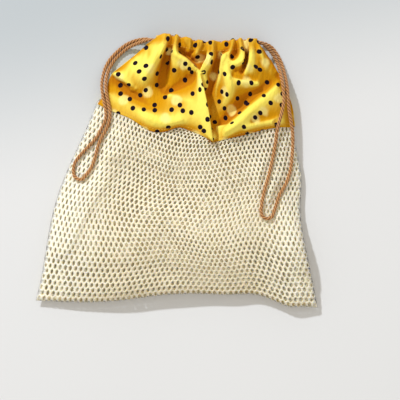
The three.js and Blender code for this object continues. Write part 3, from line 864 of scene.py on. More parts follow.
def make_net(face, surface, seed):
    """A knitted net: staggered oval holes in one closed sheet of strands."""
    chance = np.random.default_rng(seed)
    centres, x, y, index = net_cells()
    x, y, rim = straightened(x, y)
    loose = np.where(rim, 0.0, 1.0)
    x = x + loose * chance.uniform(-SHAKEN, SHAKEN, len(x))
    y = y + loose * chance.uniform(-SHAKEN, SHAKEN, len(y))
    angles = math.pi / 2 + ring_angles(len(CELL_CORNERS))
    size = chance.uniform(*HOLE_SPREAD, len(centres))
    column, row = centres.T
    at_edge = (row == 0) | (row == ROWS - 1) | (column <= 1) | (column >= COLUMNS - 1)
    size *= np.where(at_edge & (row > 0), EDGE_HOLES, 1)
    open_share = size * hole_shares(column / COLUMNS, row / ROWS)
    hole_width, hole_height = HOLE_SIZES[face]
    middle = centres + chance.uniform(-0.9 * SHAKEN, 0.9 * SHAKEN, centres.shape)
    hole_x = middle[:, :1] + hole_width * open_share[:, None] * np.cos(angles)
    drawn_out = np.sin(angles) * (1 + HOLE_TIPS * np.sin(angles) ** 4)
    hole_y = middle[:, 1:] + hole_height * size[:, None] * drawn_out

    def placed(px, py, offset):
        inner = np.sin(math.pi * clamp01(px / COLUMNS)) * np.sin(math.pi * clamp01((py + 0.5) / ROWS))
        drift_x = 0.9 * np.sin(0.31 * py + 0.07 * px + seed) + 0.5 * np.sin(0.17 * px - 0.23 * py)
        drift_y = 0.7 * np.sin(0.19 * px + 0.11 * py + 2 * seed) + 0.4 * np.sin(0.33 * px - 0.09 * py)
        u = np.clip(2 * (px + inner * drift_x) / COLUMNS - 1, -1, 1)
        v = (py + inner * drift_y + 0.5) / ROWS * NET_TOP
        return surface_offset(surface, u, v, offset)

    upper = placed(x, y, STRAND_RISE * NET_INSET * loose)
    lower = placed(x[~rim], y[~rim], np.full((~rim).sum(), -STRAND_RISE * NET_INSET))
    ring_upper = placed(hole_x.ravel(), hole_y.ravel(), np.full(hole_x.size, RIM_RISE * NET_INSET))
    ring_lower = placed(hole_x.ravel(), hole_y.ravel(), np.full(hole_x.size, -RIM_RISE * NET_INSET))
    points = np.vstack([upper, lower, ring_upper, ring_lower])
    lower_index = np.arange(len(x))
    lower_index[~rim] = len(upper) + np.arange(len(lower))
    first_ring = len(upper) + len(lower)
    ring = first_ring + np.arange(hole_x.size).reshape(hole_x.shape)
    under = ring + hole_x.size
    bottom = lower_index[index]

    def band(outer, inner):
        quads = [outer, np.roll(outer, -1, 1), np.roll(inner, -1, 1), inner]
        return np.stack([quad.ravel() for quad in quads], axis=1)

    faces = np.vstack([band(index, ring), band(ring, under), band(under, bottom)])
    # The strand mark carries the net's painted shade: 1 gets none, 0.5 on the back panel gets half, 0 on the
    # holes' walls gets all.
    outer_side = 1.0 if face == "front" else 0.5
    strand = np.concatenate([np.full(first_ring, outer_side), np.zeros(2 * hole_x.size)])
    across = np.concatenate([x, x[~rim], hole_x.ravel(), hole_x.ravel()])
    upward = np.concatenate([y, y[~rim], hole_y.ravel(), hole_y.ravel()])
    flat = np.stack([across, upward], axis=1) / 10
    return mesh_piece(f"{face}_net", points, [faces], {"yarn": flat[faces.ravel()]}, {"strand": strand})


def make_nets():
    """The front and back panels of net."""
    for face, surface, seed in (("front", front_net, 11), ("back", back_net, 23)):
        piece = make_net(face, surface, seed)
        fitted(piece, "net_cotton", "bag", f"net_{face}_panel")


# Cuff. The outlines of its halves from the hem up, the hems from left to right, and the ridges and
# valleys of the front, as places in millimetres, with their heights

LEFT_SIDE = [
    (-90.5, 63, 6.8), (-86, 70.5, 7.6), (-82.5, 78.5, 8.6), (-81, 86, 9.6), (-78, 93, 10.5),
    (-67.5, 103, 12), (-54.5, 115, 13.5), (-43.5, 125.5, 17.5), (-36, 131.5, 20.2),
]
RIGHT_SIDE = [
    (106.5, 52, 6.8), (105, 64, 7.6), (102, 75, 8.6), (97.5, 85, 9.8), (93, 93.5, 11), (88.5, 101, 12.5),
    (82, 112, 14), (74.5, 121.5, 16), (68, 129, 19), (64, 134.2, 20.2),
]
SPLIT = [(26, 31.5), (21.5, 54), (17.5, 71), (14, 83.5), (9.5, 99.5), (11.5, 107.5), (15, 116), (14, 128.8)]
LEFT_HEM = [
    (-90.5, 63), (-75.5, 56.5), (-57.5, 50.5), (-40, 40.5), (-34, 38.5), (-25, 38.5), (-19, 40), (-7.5, 44),
    (3, 41.5), (16, 37), (26, 31.5),
]
RIGHT_HEM = [(26, 31.5), (39, 35.5), (58, 41), (77.5, 47.5), (90.5, 50.5), (106.5, 52)]

LEFT_FOLDS = {
    "flap crest": [(-25, 132.5, 23), (-29, 122, 23.5), (-33.5, 113, 23), (-43.5, 95, 21.5), (-51, 84.5, 19),
                   (-58.5, 78, 17)],
    "flap lip": [(-75.5, 93.5, 17.5), (-69.5, 90, 20), (-62, 86, 20.5), (-53.5, 81, 19.5)],
    "under the lip": [(-77.5, 90, 11), (-70, 85.5, 11.5), (-63, 80, 12.5), (-53.5, 73.5, 14),
                      (-39, 65.5, 17)],
    "flap valley": [(-20, 129.5, 20), (-23, 118.5, 13), (-25.5, 105.5, 9.5), (-27.5, 93, 9.5),
                    (-27, 83.5, 10.5), (-22, 77, 13)],
    "left pleat": [(-16.5, 131, 24), (-17, 122, 24), (-15, 115.5, 24), (-3.5, 110.5, 24), (2.5, 105.5, 23.5),
                   (7, 101.5, 22.5)],
    "pocket": [(-12, 129, 20), (-10, 120.5, 13), (-3.5, 114.5, 12.5), (3.5, 108.5, 13.5), (8, 104, 16)],
    "puffed gather": [(-5.5, 130.5, 23.5), (-2.5, 125, 22), (-5, 119, 17)],
    "between gathers": [(1.5, 129, 20), (0.5, 121, 14)],
    "drape edge": [(8.5, 131.5, 23.5), (6.5, 124.5, 22), (3, 119, 20), (1, 114, 17)],
    "centre pocket": [(14, 130, 20), (14, 121.5, 14), (12.5, 112.5, 14), (9.5, 105.5, 15.5)],
    "facet foot": [(-23, 78.5, 11), (-12, 85.5, 11.5), (-2, 92, 14.5), (5.5, 98, 19.5)],
    "facet edge": [(8, 100, 22.5), (13, 83.5, 25.5), (16.5, 71, 26.5), (20.5, 54, 26), (25, 34, 23)],
    "facet crease": [(-20.5, 75.5, 16), (-9, 71, 18.5), (3, 69, 22)],
    "low swell": [(-85.5, 72.5, 12), (-71, 67.5, 16), (-53.5, 59.5, 19.5), (-38, 51.5, 22),
                  (-22.5, 47.5, 23), (-6, 51.5, 23.5)],
}
RIGHT_FOLDS = {
    "band edge": [(20, 132, 24), (18.5, 122, 24.5), (17, 114, 24.5), (15.5, 108, 24), (10.5, 102, 23)],
    "band body": [(12, 97.5, 21), (14.5, 91.5, 19.5), (17, 86, 17)],
    "band valley": [(28, 129.5, 20), (27.5, 114.5, 13.5), (25.5, 103.5, 13), (23, 94.5, 12.5), (20, 85, 12),
                    (18, 77, 12), (20, 64, 12.5), (23.5, 49, 14), (26.5, 36.5, 18)],
    "tip": [(40.5, 131.5, 23.5), (38, 125.5, 24), (31, 115.5, 25.5), (30, 106.5, 24), (29.5, 96.5, 21),
            (28, 86.5, 17.5), (28, 77, 15.5)],
    "panel crest": [(36, 103, 25.5), (39, 91, 26), (40, 82, 24), (37, 73, 19.5), (33, 65, 15.5)],
    "beside the tip": [(35.5, 131, 20), (35, 124.5, 15), (31.5, 120, 15.5)],
    "cowl rim": [(46.5, 132.5, 23.8), (51, 122, 24.5), (50, 113.5, 24.3), (42.5, 109.5, 24),
                 (35.5, 112, 24.6)],
    "inside the cowl": [(43.5, 130.5, 20.5), (42.5, 121.5, 17), (40.5, 115.5, 18.5)],
    "below the cowl": [(53, 106, 19), (45, 103.5, 20.5)],
    "flap valley": [(51.5, 133, 20), (54, 122.5, 13.5), (54, 113, 14), (51, 103, 17)],
    "flap edge": [(55.5, 135.5, 23.8), (57.5, 122.5, 24), (57, 111.5, 23.6), (53, 101, 21)],
    "flap crest": [(63.5, 131, 22.5), (68, 119, 22), (73, 107.5, 20.5)],
    "shelf": [(39.5, 94.5, 24.8), (50.5, 93, 23), (66, 92, 21)],
    "above the shelf": [(42.5, 98.5, 22), (52.5, 96.5, 20), (64.5, 96, 19)],
    "corner foot": [(86.5, 98.5, 12.8), (72, 87.5, 15), (62.5, 80, 15.5), (51, 69, 14.5), (43.5, 61.5, 13.5),
                    (34.5, 51, 13.5), (29, 42, 16.5)],
    "corner crest": [(90, 93, 15.5), (81.5, 84, 20), (70, 73, 24), (58.5, 61.5, 25.5), (48.5, 51, 25.5),
                     (38.5, 43, 24.5)],
    "low crease": [(56.5, 48.5, 24), (74, 53.5, 22), (91, 57.5, 18.5)],
    "above the low crease": [(64, 54, 21.5), (80, 58.5, 18.5), (92.5, 63.5, 15)],
}
FRONT_HALVES = {"left": (LEFT_SIDE, LEFT_HEM, LEFT_FOLDS), "right": (RIGHT_SIDE, RIGHT_HEM, RIGHT_FOLDS)}
PATCH_COLUMNS = 150
PATCH_ROWS = 120
HEM_STAND = 1.4
FOLD_DEPTH = 1.5
FOLD_WIDTH = 1.0
FOLD_PULL = 10
START_HEIGHT = 17.0
LEAST_HEIGHT = 9.5
STRETCH_PASSES = 500
CRINKLE_DEPTH = 0.6
CRINKLE_WAVES = 14
CRINKLES_AT_HEM = 0.5
CRINKLES_AT_MOUTH = 2.0
GATHER_RISE = 1.0
GATHER_DROP = 3.0
OVER_LANE = 2.5
LAP_MARGIN = 0.03
BACK_PLEATS = 7

# Where the cloth starts to rise into the channel, and over what length
CHANNEL_START = 114
CHANNEL_RISE = 13

# Where the mouth is drawn in between its gathers, from its left end to its right
CREASES = [-20, -12, 1.5, 14, 28, 35.5, 43.5, 51.5]
CREASE_WIDTH = 1.9
CREASE_DEPTH = 1.4


def creased(x):
    """1 in a crease between two gathers, 0 on their tops."""
    distance = np.abs(np.subtract.outer(np.asarray(x, float), CREASES)).min(axis=-1)
    return np.exp(-((distance / CREASE_WIDTH) ** 2))


def top_line(start, end, count):
    """The middle of the upper lane across one half of the mouth, lower at the left, higher at the right."""
    x = np.linspace(start, end, count)
    drop = 1.8 * ease((-29 - x) / 7)
    rise = 0.9 * ease((x - 58) / 6)
    return np.stack([x, RIGHT_CORD_LANE - sag_at(x) - drop + rise - CREASE_DEPTH * creased(x)], axis=1)


def four_sided(low, high, left, right):
    """A grid of places between four edge lines that meet at their corners."""
    s = np.linspace(0, 1, len(low))[None, :, None]
    t = np.linspace(0, 1, len(left))[:, None, None]
    between_rows = (1 - t) * low[None] + t * high[None]
    between_sides = (1 - s) * left[:, None] + s * right[:, None]
    corners = (1 - t) * ((1 - s) * low[0] + s * low[-1]) + t * ((1 - s) * high[0] + s * high[-1])
    return between_rows + between_sides - corners


def deepened(line):
    """A fold line with its height drawn out, but not in the channel or where the cords lie on the cloth."""
    line = np.array(line, float)
    between_cords = ease((70 - np.abs(line[:, 0] - 8)) / 25)
    below_channel = 1 - ease((line[:, 1] + sag_at(line[:, 0]) - 118) / 10)
    line[:, 2] += between_cords * below_channel * (3 + (FOLD_DEPTH - 1) * (line[:, 2] - 18))
    return line


def pulled_by(places, folds):
    """The height that the fold lines ask for at each place, and how strongly."""
    wanted = np.zeros(places.shape[:2])
    weight = np.full(places.shape[:2], 1e-9)
    for line in folds.values():
        line = smooth_line(deepened(line), step=1.0)
        for start, end in zip(line[:-1], line[1:]):
            way = end[:2] - start[:2]
            share = clamp01(((places - start[:2]) @ way) / (way @ way))
            nearest = start[:2] + share[..., None] * way
            distance = np.linalg.norm(places - nearest, axis=-1)
            strength = np.exp(-((distance / FOLD_WIDTH) ** 2))
            wanted += strength * mix(start[2], end[2], share)
            weight += strength
    return wanted / weight, FOLD_PULL * np.minimum(1, weight)


def neighbour_sum(height):
    """The four heights next to each one, added up. At the grid's edges its own height stands in."""
    padded = np.pad(height, 1, mode="edge")
    return padded[:-2, 1:-1] + padded[2:, 1:-1] + padded[1:-1, :-2] + padded[1:-1, 2:]


def relaxed(height, fixed, wanted, weight):
    """A stretched skin that is held at its fixed points and drawn to the wanted heights."""
    rows, columns = height.shape
    even = (np.add.outer(np.arange(rows), np.arange(columns)) % 2) == 0
    over = 2 / (1 + math.sin(math.pi / max(rows, columns)))
    for _ in range(STRETCH_PASSES):
        for turn in (even, ~even):
            aim = (neighbour_sum(height) + weight * wanted) / (4 + weight)
            height = np.where(turn & ~fixed, height + over * (aim - height), height)
    return height


def softened(height, fixed, passes):
    """Rounds the ridges and valleys a little."""
    for _ in range(passes):
        height = np.where(fixed, height, mix(height, neighbour_sum(height) / 4, 0.7))
    return height


def crinkles(x, y):
    """Short creases that run down from the gathers, in millimetres."""
    chance = np.random.default_rng(5)
    total = np.zeros_like(x)
    for _ in range(CRINKLE_WAVES):
        lean = chance.uniform(-0.35, 0.35)
        pace = chance.uniform(0.5, 1.3)
        phase = chance.uniform(0, 2 * math.pi)
        drift = 1.2 * np.sin(0.11 * y + chance.uniform(0, 6))
        total += np.sin(pace * (x + lean * y) + drift + phase)
    return total / CRINKLE_WAVES


def front_half(side):
    """The shaped part of one half of the front cuff: a grid of places with heights."""
    outline, hem, folds = FRONT_HALVES[side]
    outline = smooth_line(outline, PATCH_ROWS)
    split = smooth_line(SPLIT, PATCH_ROWS)
    hem = smooth_line(hem, PATCH_COLUMNS)
    if side == "left":
        top = top_line(outline[-1, 0], split[-1, 0], PATCH_COLUMNS)
        edges = (outline[:, :2], split)
    else:
        top = top_line(split[-1, 0], outline[-1, 0], PATCH_COLUMNS)
        edges = (split, outline[:, :2])
    for edge, corner in zip(edges, (0, -1)):
        edge += np.linspace(0, 1, PATCH_ROWS)[:, None] * (top[corner] - edge[-1])
    places = four_sided(hem, top, *edges)
    fixed = np.zeros(places.shape[:2], bool)
    height = np.full(places.shape[:2], START_HEIGHT)
    outer = 0 if side == "left" else -1
    height[:, outer] = outline[:, 2]
    x, y = places[..., 0], places[..., 1]
    u, v = bag_place(x, y)
    net_height = front_net(u, np.minimum(v, NET_TOP))[..., 2]
    height[0] = net_height[0] + HEM_STAND
    height[0, outer] = outline[0, 2]
    fixed[:, outer] = True
    fixed[0] = True
    wanted, weight = pulled_by(places, folds)
    height = relaxed(height, fixed, wanted, weight)
    height = softened(height, fixed, 1)
    inside = np.ones_like(x)
    inside[0] = 0
    inside[:, outer] = 0
    inside = softened(inside, fixed, 6)
    crinkled = mix(CRINKLES_AT_HEM, CRINKLES_AT_MOUTH, ease((y - 70) / 50))
    height += inside * CRINKLE_DEPTH * crinkles(x, y) * crinkled
    in_channel = ease((y + sag_at(x) - CHANNEL_START) / CHANNEL_RISE)
    height += in_channel * (GATHER_RISE - GATHER_DROP * creased(x))
    height = np.maximum(height, mix(LEAST_HEIGHT, FRONT_LANE + OVER_LANE, in_channel))
    over_net = (v < NET_TOP + LAP_MARGIN) & ~fixed
    height = np.where(over_net, np.maximum(height, net_height + HEM_STAND), height)
    height = softened(height, fixed, 1)
    height = np.where(fixed, height, under_cords(x, y, height, CORD_DIAMETER / 2 + CORD_CLEARANCE))
    return np.concatenate([places, height[..., None]], axis=-1)


# The steps out and down by which the cloth goes on at the split: as a wall down to the other half,
# and tucked in under it
WALL_STEPS = [(0.45, 0.05), (0.35, 0.2), (-0.5, 0.45), (-0.9, 0.7), (-0.2, 0.9), (0.9, 1.0)]
TUCK_STEPS = [(0.7, 0.15), (1.4, 0.35), (2.1, 0.6), (2.8, 0.8), (3.5, 0.95), (4.2, 1.0)]
WALL_COLUMNS = len(WALL_STEPS)
TUCK_DEPTH = 1.1
WALL_OVERLAP = 0.9

# How far back from the hem's edge each turned row lies, and how far down
HEM_TURN = [(5.0, 0.75), (2.5, 0.8), (0.3, 0.7), (-0.35, 0.3)]
HEM_ROWS = len(HEM_TURN)
HEM_SLOPE = 0.6

# The roll over the cords, and how far down inside the channel each row after it lies
ROLL_STEPS = 11
LINING_ROWS = (1.6, 3.2, 4.8, 6.4, 8.0)
LINING_WAVE = 0.25


def with_wall(grid, other, side):
    """Carries the half on at the split: down to the other half where it stands above it,
    and in under the other half where it lies below."""
    way = 1 if side == "left" else -1
    edge = grid[:, -1] if side == "left" else grid[:, 0]
    facing = other[:, 0] if side == "left" else other[:, -1]
    fall = edge[:, 2] - facing[:, 2]
    over = ease(fall / 3)
    depth = np.maximum(fall, 0) + WALL_OVERLAP
    strips = []
    for (wall_out, wall_down), (tuck_out, tuck_down) in zip(WALL_STEPS, TUCK_STEPS):
        strip = edge.copy()
        strip[:, 0] += way * mix(tuck_out, wall_out, over)
        strip[:, 2] -= mix(tuck_down * TUCK_DEPTH, wall_down * depth, over)
        strips.append(strip[:, None])
    if side == "left":
        return np.concatenate([grid, *strips], axis=1)
    return np.concatenate([*reversed(strips), grid], axis=1)


def with_hem_and_channel(grid, lane_height, outward):
    """Turns the hem under at the bottom, and rolls the top over the cords and down inside."""
    low = grid[0]
    turned = []
    for back, down in HEM_TURN:
        row = low + (grid[1] - low) / np.linalg.norm(grid[1] - low, axis=1)[:, None] * back
        if back > 0:
            row[:, 2] = low[:, 2] + (row[:, 2] - low[:, 2]) * HEM_SLOPE
        row[:, 2] -= outward * down
        turned.append(row[None])
    high = grid[-1]
    rise = outward * (high[:, 2] - lane_height)
    inner = lane_height - outward * (2.75 - 0.15 * (rise - 3.5))
    reach = 2.15 + 0.2 * (rise - 2.5)
    rolled = []
    for angle in np.linspace(0, math.pi, ROLL_STEPS)[1:]:
        row = high.copy()
        row[:, 1] += reach * math.sin(angle)
        row[:, 2] = (high[:, 2] + inner) / 2 + (high[:, 2] - inner) / 2 * math.cos(angle)
        rolled.append(row[None])
    for down in LINING_ROWS:
        row = high.copy()
        row[:, 1] -= down
        row[:, 2] = inner + outward * LINING_WAVE * math.sin(down)
        rolled.append(row[None])
    return np.concatenate([*turned, grid, *rolled])


def laid_flat(grid):
    """The shaped cloth laid out flat, with each length as near to its real one as it can be."""
    spread = np.zeros(grid.shape[:2] + (2,))
    for axis in (0, 1):
        step = np.moveaxis(np.diff(grid, axis=axis), axis, 0)
        seen = np.linalg.norm(step[..., :2], axis=-1)[..., None]
        real = np.linalg.norm(step, axis=-1)[..., None]
        wanted = step[..., :2] * real / np.maximum(seen, 1e-3)
        turned = np.moveaxis(spread, axis, 0)
        turned[:-1] += wanted
        turned[1:] -= wanted
    mirrored = np.concatenate([spread, spread[::-1]])
    mirrored = np.concatenate([mirrored, mirrored[:, ::-1]], axis=1)
    rows, columns = mirrored.shape[:2]
    bend_down = 2 * np.cos(2 * math.pi * np.arange(rows) / rows)[:, None] - 2
    bend_across = 2 * np.cos(2 * math.pi * np.arange(columns) / columns)[None] - 2
    bend = bend_down + bend_across
    bend[0, 0] = 1
    waves = np.fft.fft2(mirrored, axes=(0, 1)) / bend[..., None]
    waves[0, 0] = 0
    return np.real(np.fft.ifft2(waves, axes=(0, 1)))[: grid.shape[0], : grid.shape[1]]


def carry_on(flat, grid, shaped, way):
    """Lays the rows beyond a grid's shaped ones out flat, straight on from them."""
    steps = np.linalg.norm(np.diff(grid, axis=0), axis=2)[..., None] * way
    for row in range(shaped.start - 1, -1, -1):
        flat[row] = flat[row + 1] - steps[row]
    for row in range(shaped.stop, len(flat)):
        flat[row] = flat[row - 1] + steps[row - 1]


def cloth_map(grid, rows, columns):
    """The whole cloth laid flat, in decimetres: its shaped rows and columns, and on from them what is
    turned in at the hem, rolled over at the top and carried on at the split."""
    flat = np.zeros(grid.shape[:2] + (2,))
    flat[rows, columns] = laid_flat(grid[rows, columns])
    carry_on(flat.swapaxes(0, 1), grid.swapaxes(0, 1), columns, [1, 0])
    carry_on(flat, grid, rows, [0, 1])
    return flat / 100


# The span of heights, against the cloth around, from the deepest painted shade of a fold to its palest
# painted light
FOLD_TONE = 5
AROUND_PASSES = 260

# Patches of painted light, with a positive amount, and of painted shade, with a negative one: a place, how
# far it reaches and how much
PAINTED_LIGHT_AND_SHADE = [
    ((-54, 105), 13, 0.45), ((8, 60), 13, 0.3), ((-36, 122), 8, 0.2), ((68, 110), 13, -0.2),
    ((43, 80), 14, -0.25), ((-1, 107), 12, -0.25), ((-60, 83), 12, -0.25), ((-34, 66), 12, -0.2),
]


def cloth_piece(name, grid, facing_up, offset, walls=(0, 0)):
    """A sheet of cloth from a grid of points, with its thickness on the inner side."""
    rows, columns = grid.shape[:2]
    faces = grid_faces(rows, columns)
    if not facing_up:
        faces = faces[:, ::-1]
    shaped_rows = slice(HEM_ROWS, HEM_ROWS + PATCH_ROWS)
    shaped_columns = slice(walls[0], columns - walls[1])
    flat = (cloth_map(grid, shaped_rows, shaped_columns) + np.array(offset)).reshape(-1, 2)
    # The fold mark, for painted light and shade: paler where the cloth stands above the cloth around, deeper
    # where it lies below it and towards the channel.
    height = grid[..., 2]
    around = softened(height, np.zeros(height.shape, bool), AROUND_PASSES)
    below_channel = 1 - 0.5 * ease((np.arange(rows) - HEM_ROWS - 0.8 * PATCH_ROWS) / (0.15 * PATCH_ROWS))
    fold = clamp01(0.5 + (height - around) / FOLD_TONE) * below_channel[:, None]
    # Painted light and painted shade at set places on the cuff, added to the fold mark.
    for place, reach, lift in PAINTED_LIGHT_AND_SHADE:
        distance = np.hypot(grid[..., 0] - place[0], grid[..., 1] - place[1])
        fold += lift * np.exp(-((distance / reach) ** 2))
    piece = mesh_piece(name, grid.reshape(-1, 3), [faces], {"cloth": flat[faces.ravel()]}, {"fold": fold})
    apply_modifier(piece, "SOLIDIFY", thickness=CLOTH_THICKNESS * MM, offset=-1)
    return piece


def back_half(side):
    """One half of the back cuff, flat on the table below and pleated into the channel above."""
    left = smooth_line(LEFT_SIDE, PATCH_ROWS)[:, :2]
    right = smooth_line(RIGHT_SIDE, PATCH_ROWS)[:, :2]
    count = 2 * PATCH_COLUMNS - 1
    u = np.linspace(-1, 1, count)
    hem = np.stack([np.linspace(left[0, 0], right[0, 0], count), join_edge(u)], axis=1)
    top = top_line(left[-1, 0], right[-1, 0], count)
    for edge, low, high in ((left, hem[0], top[0]), (right, hem[-1], top[-1])):
        share = np.linspace(0, 1, PATCH_ROWS)[:, None]
        edge += (1 - share) * (low - edge[0]) + share * (high - edge[-1])
    places = four_sided(hem, top, left, right)
    v = 1 + np.linspace(0, 1, PATCH_ROWS)[:, None] + 0 * u
    u = u[None, :] + 0 * v
    gathered = u / GATHER_SHARE
    gather = np.where(np.abs(gathered) < 1, 0.5 - 0.5 * np.cos(math.pi * BACK_PLEATS * (gathered + 1)), 0)
    middle = middle_height(v) - 0.5
    resting = mix(1.3, 2.6, ease((v - 1.5) / 0.5))
    height = middle - back_section(u, v) * (middle - resting)
    free = 1 - u**8
    height += free * (1.4 - 2.2 * gather) * ease((v - 1.35) / 0.4) * (1 - ease((v - 1.85) / 0.1))
    height -= free * 1.9 * gather * ease((v - 1.85) / 0.1)
    ceiling = mix(14, BACK_LANE - 2.6, ease((places[..., 1] + sag_at(places[..., 0]) - 122) / 4))
    height = np.clip(np.minimum(height, ceiling), 0.35, None)
    height += free * 0.25 * crinkles(places[..., 0], places[..., 1]) * ease((height - 0.6) / 2)
    grid = np.concatenate([places, height[..., None]], axis=-1)
    middle_column = PATCH_COLUMNS - 1
    return grid[:, : middle_column + 1] if side == "left" else grid[:, middle_column:]


# Stitches and seams

STITCH = 2.3
STITCH_GAP = 0.7
THREAD = 0.45
THREAD_SUNK = 0.2
THREAD_SIDES = 6
HEM_TO_STITCHES = 3.2

# A stitch's share of its length, how thick it is there and how far it dips, both in threads
STITCH_SHAPE = [
    (0, 0.35, 0.9), (0.12, 0.8, 0.35), (0.35, 1, 0), (0.65, 1, 0), (0.88, 0.8, 0.35), (1, 0.35, 0.9),
]


def stitches(name, line, ups):
    """A row of short threads along a line on the cloth, each dipping in at its ends."""
    reach = distance_along(line)
    count = int((reach[-1] - STITCH) / (STITCH + STITCH_GAP))
    share, swell, dip = np.array(STITCH_SHAPE).T
    rise = THREAD * (0.5 - THREAD_SUNK) - dip * THREAD
    angles = ring_angles(THREAD_SIDES)[None, :, None]
    quads = grid_faces(len(share), THREAD_SIDES, closed=True)
    first_end = np.arange(THREAD_SIDES)[::-1]
    last_end = np.arange(THREAD_SIDES) + (len(share) - 1) * THREAD_SIDES
    ends = np.stack([first_end, last_end])
    points = []
    for k in range(count):
        at = (k + 0.5) * (STITCH + STITCH_GAP) + share * STITCH
        middle = read_along(at, reach, line)
        up = read_along(at, reach, ups)
        way = np.gradient(middle, axis=0)
        way /= np.linalg.norm(way, axis=1)[:, None]
        side = np.cross(way, up)
        middle = middle + up * rise[:, None]
        radius = (swell * THREAD / 2)[:, None, None]
        ring = side[:, None] * np.cos(angles) + up[:, None] * np.sin(angles)
        points.append((middle[:, None] + ring * radius).reshape(-1, 3))
    starts = np.arange(count)[:, None, None] * len(points[0])
    groups = [(starts + group).reshape(-1, group.shape[1]) for group in (quads, ends)]
    return mesh_piece(name, np.vstack(points), groups)


def column_reach(grid):
    """How far up the cloth each point of a grid lies from the first row, column by column."""
    upward = np.linalg.norm(np.diff(grid, axis=0), axis=2)
    return np.vstack([np.zeros(grid.shape[1]), np.cumsum(upward, axis=0)])


def grid_row(grid, distance):
    """The line across a grid at a distance up from its first row, with its upward directions."""
    reach = column_reach(grid)
    normals = np.cross(np.gradient(grid, axis=1), np.gradient(grid, axis=0))
    normals /= np.linalg.norm(normals, axis=2)[..., None]
    both = np.concatenate([grid, normals], axis=2)
    columns = range(grid.shape[1])
    row = np.vstack([read_along(distance[k : k + 1], reach[:, k], both[:, k]) for k in columns])
    return row[:, :3], row[:, 3:]


def stitch_distance(grid):
    """How far up the cloth the row under the channel lies, column by column."""
    reach = column_reach(grid)
    line = STITCH_LINE - sag_at(grid[-1, :, 0])
    return np.array([np.interp(line[k], grid[:, k, 1], reach[:, k]) for k in range(grid.shape[1])])


# Where each half was cut from the printed cloth, in decimetres
FRONT_PRINTS = {"left": (0, 0), "right": (3.37, 1.63)}
BACK_PRINTS = {"left": (3.1, 0.2), "right": (4.7, 0.9)}


def make_cuff():
    """Front and back of the cuff, each in a left and a right half, and the rows of stitches on them."""
    shaped = {side: front_half(side) for side in ("left", "right")}
    for side, other in (("left", "right"), ("right", "left")):
        walled = with_wall(shaped[side], shaped[other], side)
        grid = with_hem_and_channel(walled, FRONT_LANE, 1)
        walls = (0, WALL_COLUMNS) if side == "left" else (WALL_COLUMNS, 0)
        piece = cloth_piece(f"{side}_front_cuff", grid, True, FRONT_PRINTS[side], walls)
        fitted(piece, "cuff_cotton", side, "cuff_front_panel", f"{side}_casing_end")
        back = back_half(side)
        grid = with_hem_and_channel(back, BACK_LANE, -1)
        piece = cloth_piece(f"{side}_back_cuff", grid, False, BACK_PRINTS[side])
        fitted(piece, "cuff_cotton", side, "cuff_back_panel")
        for face, surface, outward in (("front", shaped[side], 1), ("back", back, -1)):
            line, ups = grid_row(surface, stitch_distance(surface))
            row = stitches(f"{side}_{face}_channel_stitches", line, ups * outward)
            fitted(row, "yellow_thread", side, f"{face}_casing_stitching")
            line, ups = grid_row(surface, np.full(surface.shape[1], HEM_TO_STITCHES))
            row = stitches(f"{side}_{face}_hem_stitches", line, ups * outward)
            fitted(row, "yellow_thread", "bag", f"{face}_join_stitching")


NET_SLOTS = ("net_cotton", "cream_thread")
CUFF_SLOTS = ("cuff_cotton", "yellow_thread")
SEAM_POINTS = 60
CUFF_SEAM_REACH = slice(4, 44)
SEAM_INSET = 4.2
NET_SEAM_INSET = 4.4
NET_SEAM_WIDTH = 4.6
CUFF_SEAM_WIDTH = 4.0
SEAM_FLATNESS = 0.28
STRIP_SIDES = 12
WRAP_TURN = 2.6
WRAP_STEPS = 12
WRAP_THREAD = 0.48
WRAP_OVER = 0.2
WRAP_ABOVE = 0.25


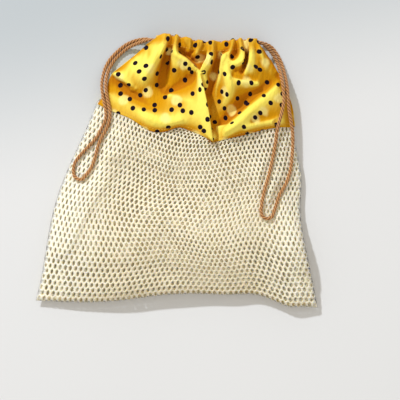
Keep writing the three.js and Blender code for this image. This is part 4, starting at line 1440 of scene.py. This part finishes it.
def overlocked_seam(name, line, width, slots, carrier, node):
    """Two edges turned in and sewn over and over: a flat strip and the thread that wraps it."""
    strip = tube(name, line, np.full(STRIP_SIDES, width / 2), flat=SEAM_FLATNESS)
    fitted(strip, slots[0], carrier, node)
    sides, ups = cross_ways(line)
    reach = distance_along(line)
    at = np.linspace(0, reach[-1], int(reach[-1] / WRAP_TURN * WRAP_STEPS))
    spin = 2 * math.pi * at / WRAP_TURN
    sideways = read_along(at, reach, sides) * (np.cos(spin) * (width / 2 + WRAP_OVER))[:, None]
    half_height = width * SEAM_FLATNESS / 2 + WRAP_ABOVE
    upward = read_along(at, reach, ups) * (np.sin(spin) * half_height)[:, None]
    route = read_along(at, reach, line) + (sideways + upward)
    wrap = tube(f"{name}_thread", route, np.full(THREAD_SIDES, WRAP_THREAD / 2))
    fitted(wrap, slots[1], carrier, node)


def make_seams():
    """The turned-in seams at the sides of the net and the cuff and along the bottom."""
    v = np.linspace(0.05, 1.0, SEAM_POINTS)
    for side, sign in (("left", -1), ("right", 1)):
        edge = sign * np.ones_like(v)
        across = place_across(edge, v, NET_SEAM_INSET)
        line = np.stack([across, place_along(edge, v), middle_height(v)], axis=1)
        overlocked_seam(f"{side}_net_seam", line, NET_SEAM_WIDTH, NET_SLOTS, "bag", f"{side}_side_seam")
        line = smooth_line(LEFT_SIDE if side == "left" else RIGHT_SIDE, SEAM_POINTS)[CUFF_SEAM_REACH]
        line[:, 0] -= sign * SEAM_INSET
        line[:, 2] = middle_height(np.linspace(1.07, 1.72, len(line))) + 0.2
        overlocked_seam(f"{side}_cuff_seam", line, CUFF_SEAM_WIDTH, CUFF_SLOTS, side, f"{side}_cuff_seam")
    u = np.linspace(-0.94, 0.94, 2 * SEAM_POINTS)
    x = shift(0) + u * (half_width(0) - 1)
    line = np.stack([x, bottom_edge(u) + SEAM_INSET, np.full_like(u, SIDE_HEIGHT)], axis=1)
    overlocked_seam("bottom_net_seam", line, NET_SEAM_WIDTH, NET_SLOTS, "bag", "bottom_seam")


# The camera and the cords first, then the cloth and what is round it

make_camera()
make_drawstring("left", LEFT_EXITS, LEFT_LOOP, LEFT_CORD_LANE, LEFT_CORD_TURN)
make_drawstring("right", RIGHT_EXITS, RIGHT_LOOP, RIGHT_CORD_LANE, RIGHT_CORD_TURN)
make_nets()
make_cuff()
make_seams()
make_surroundings()
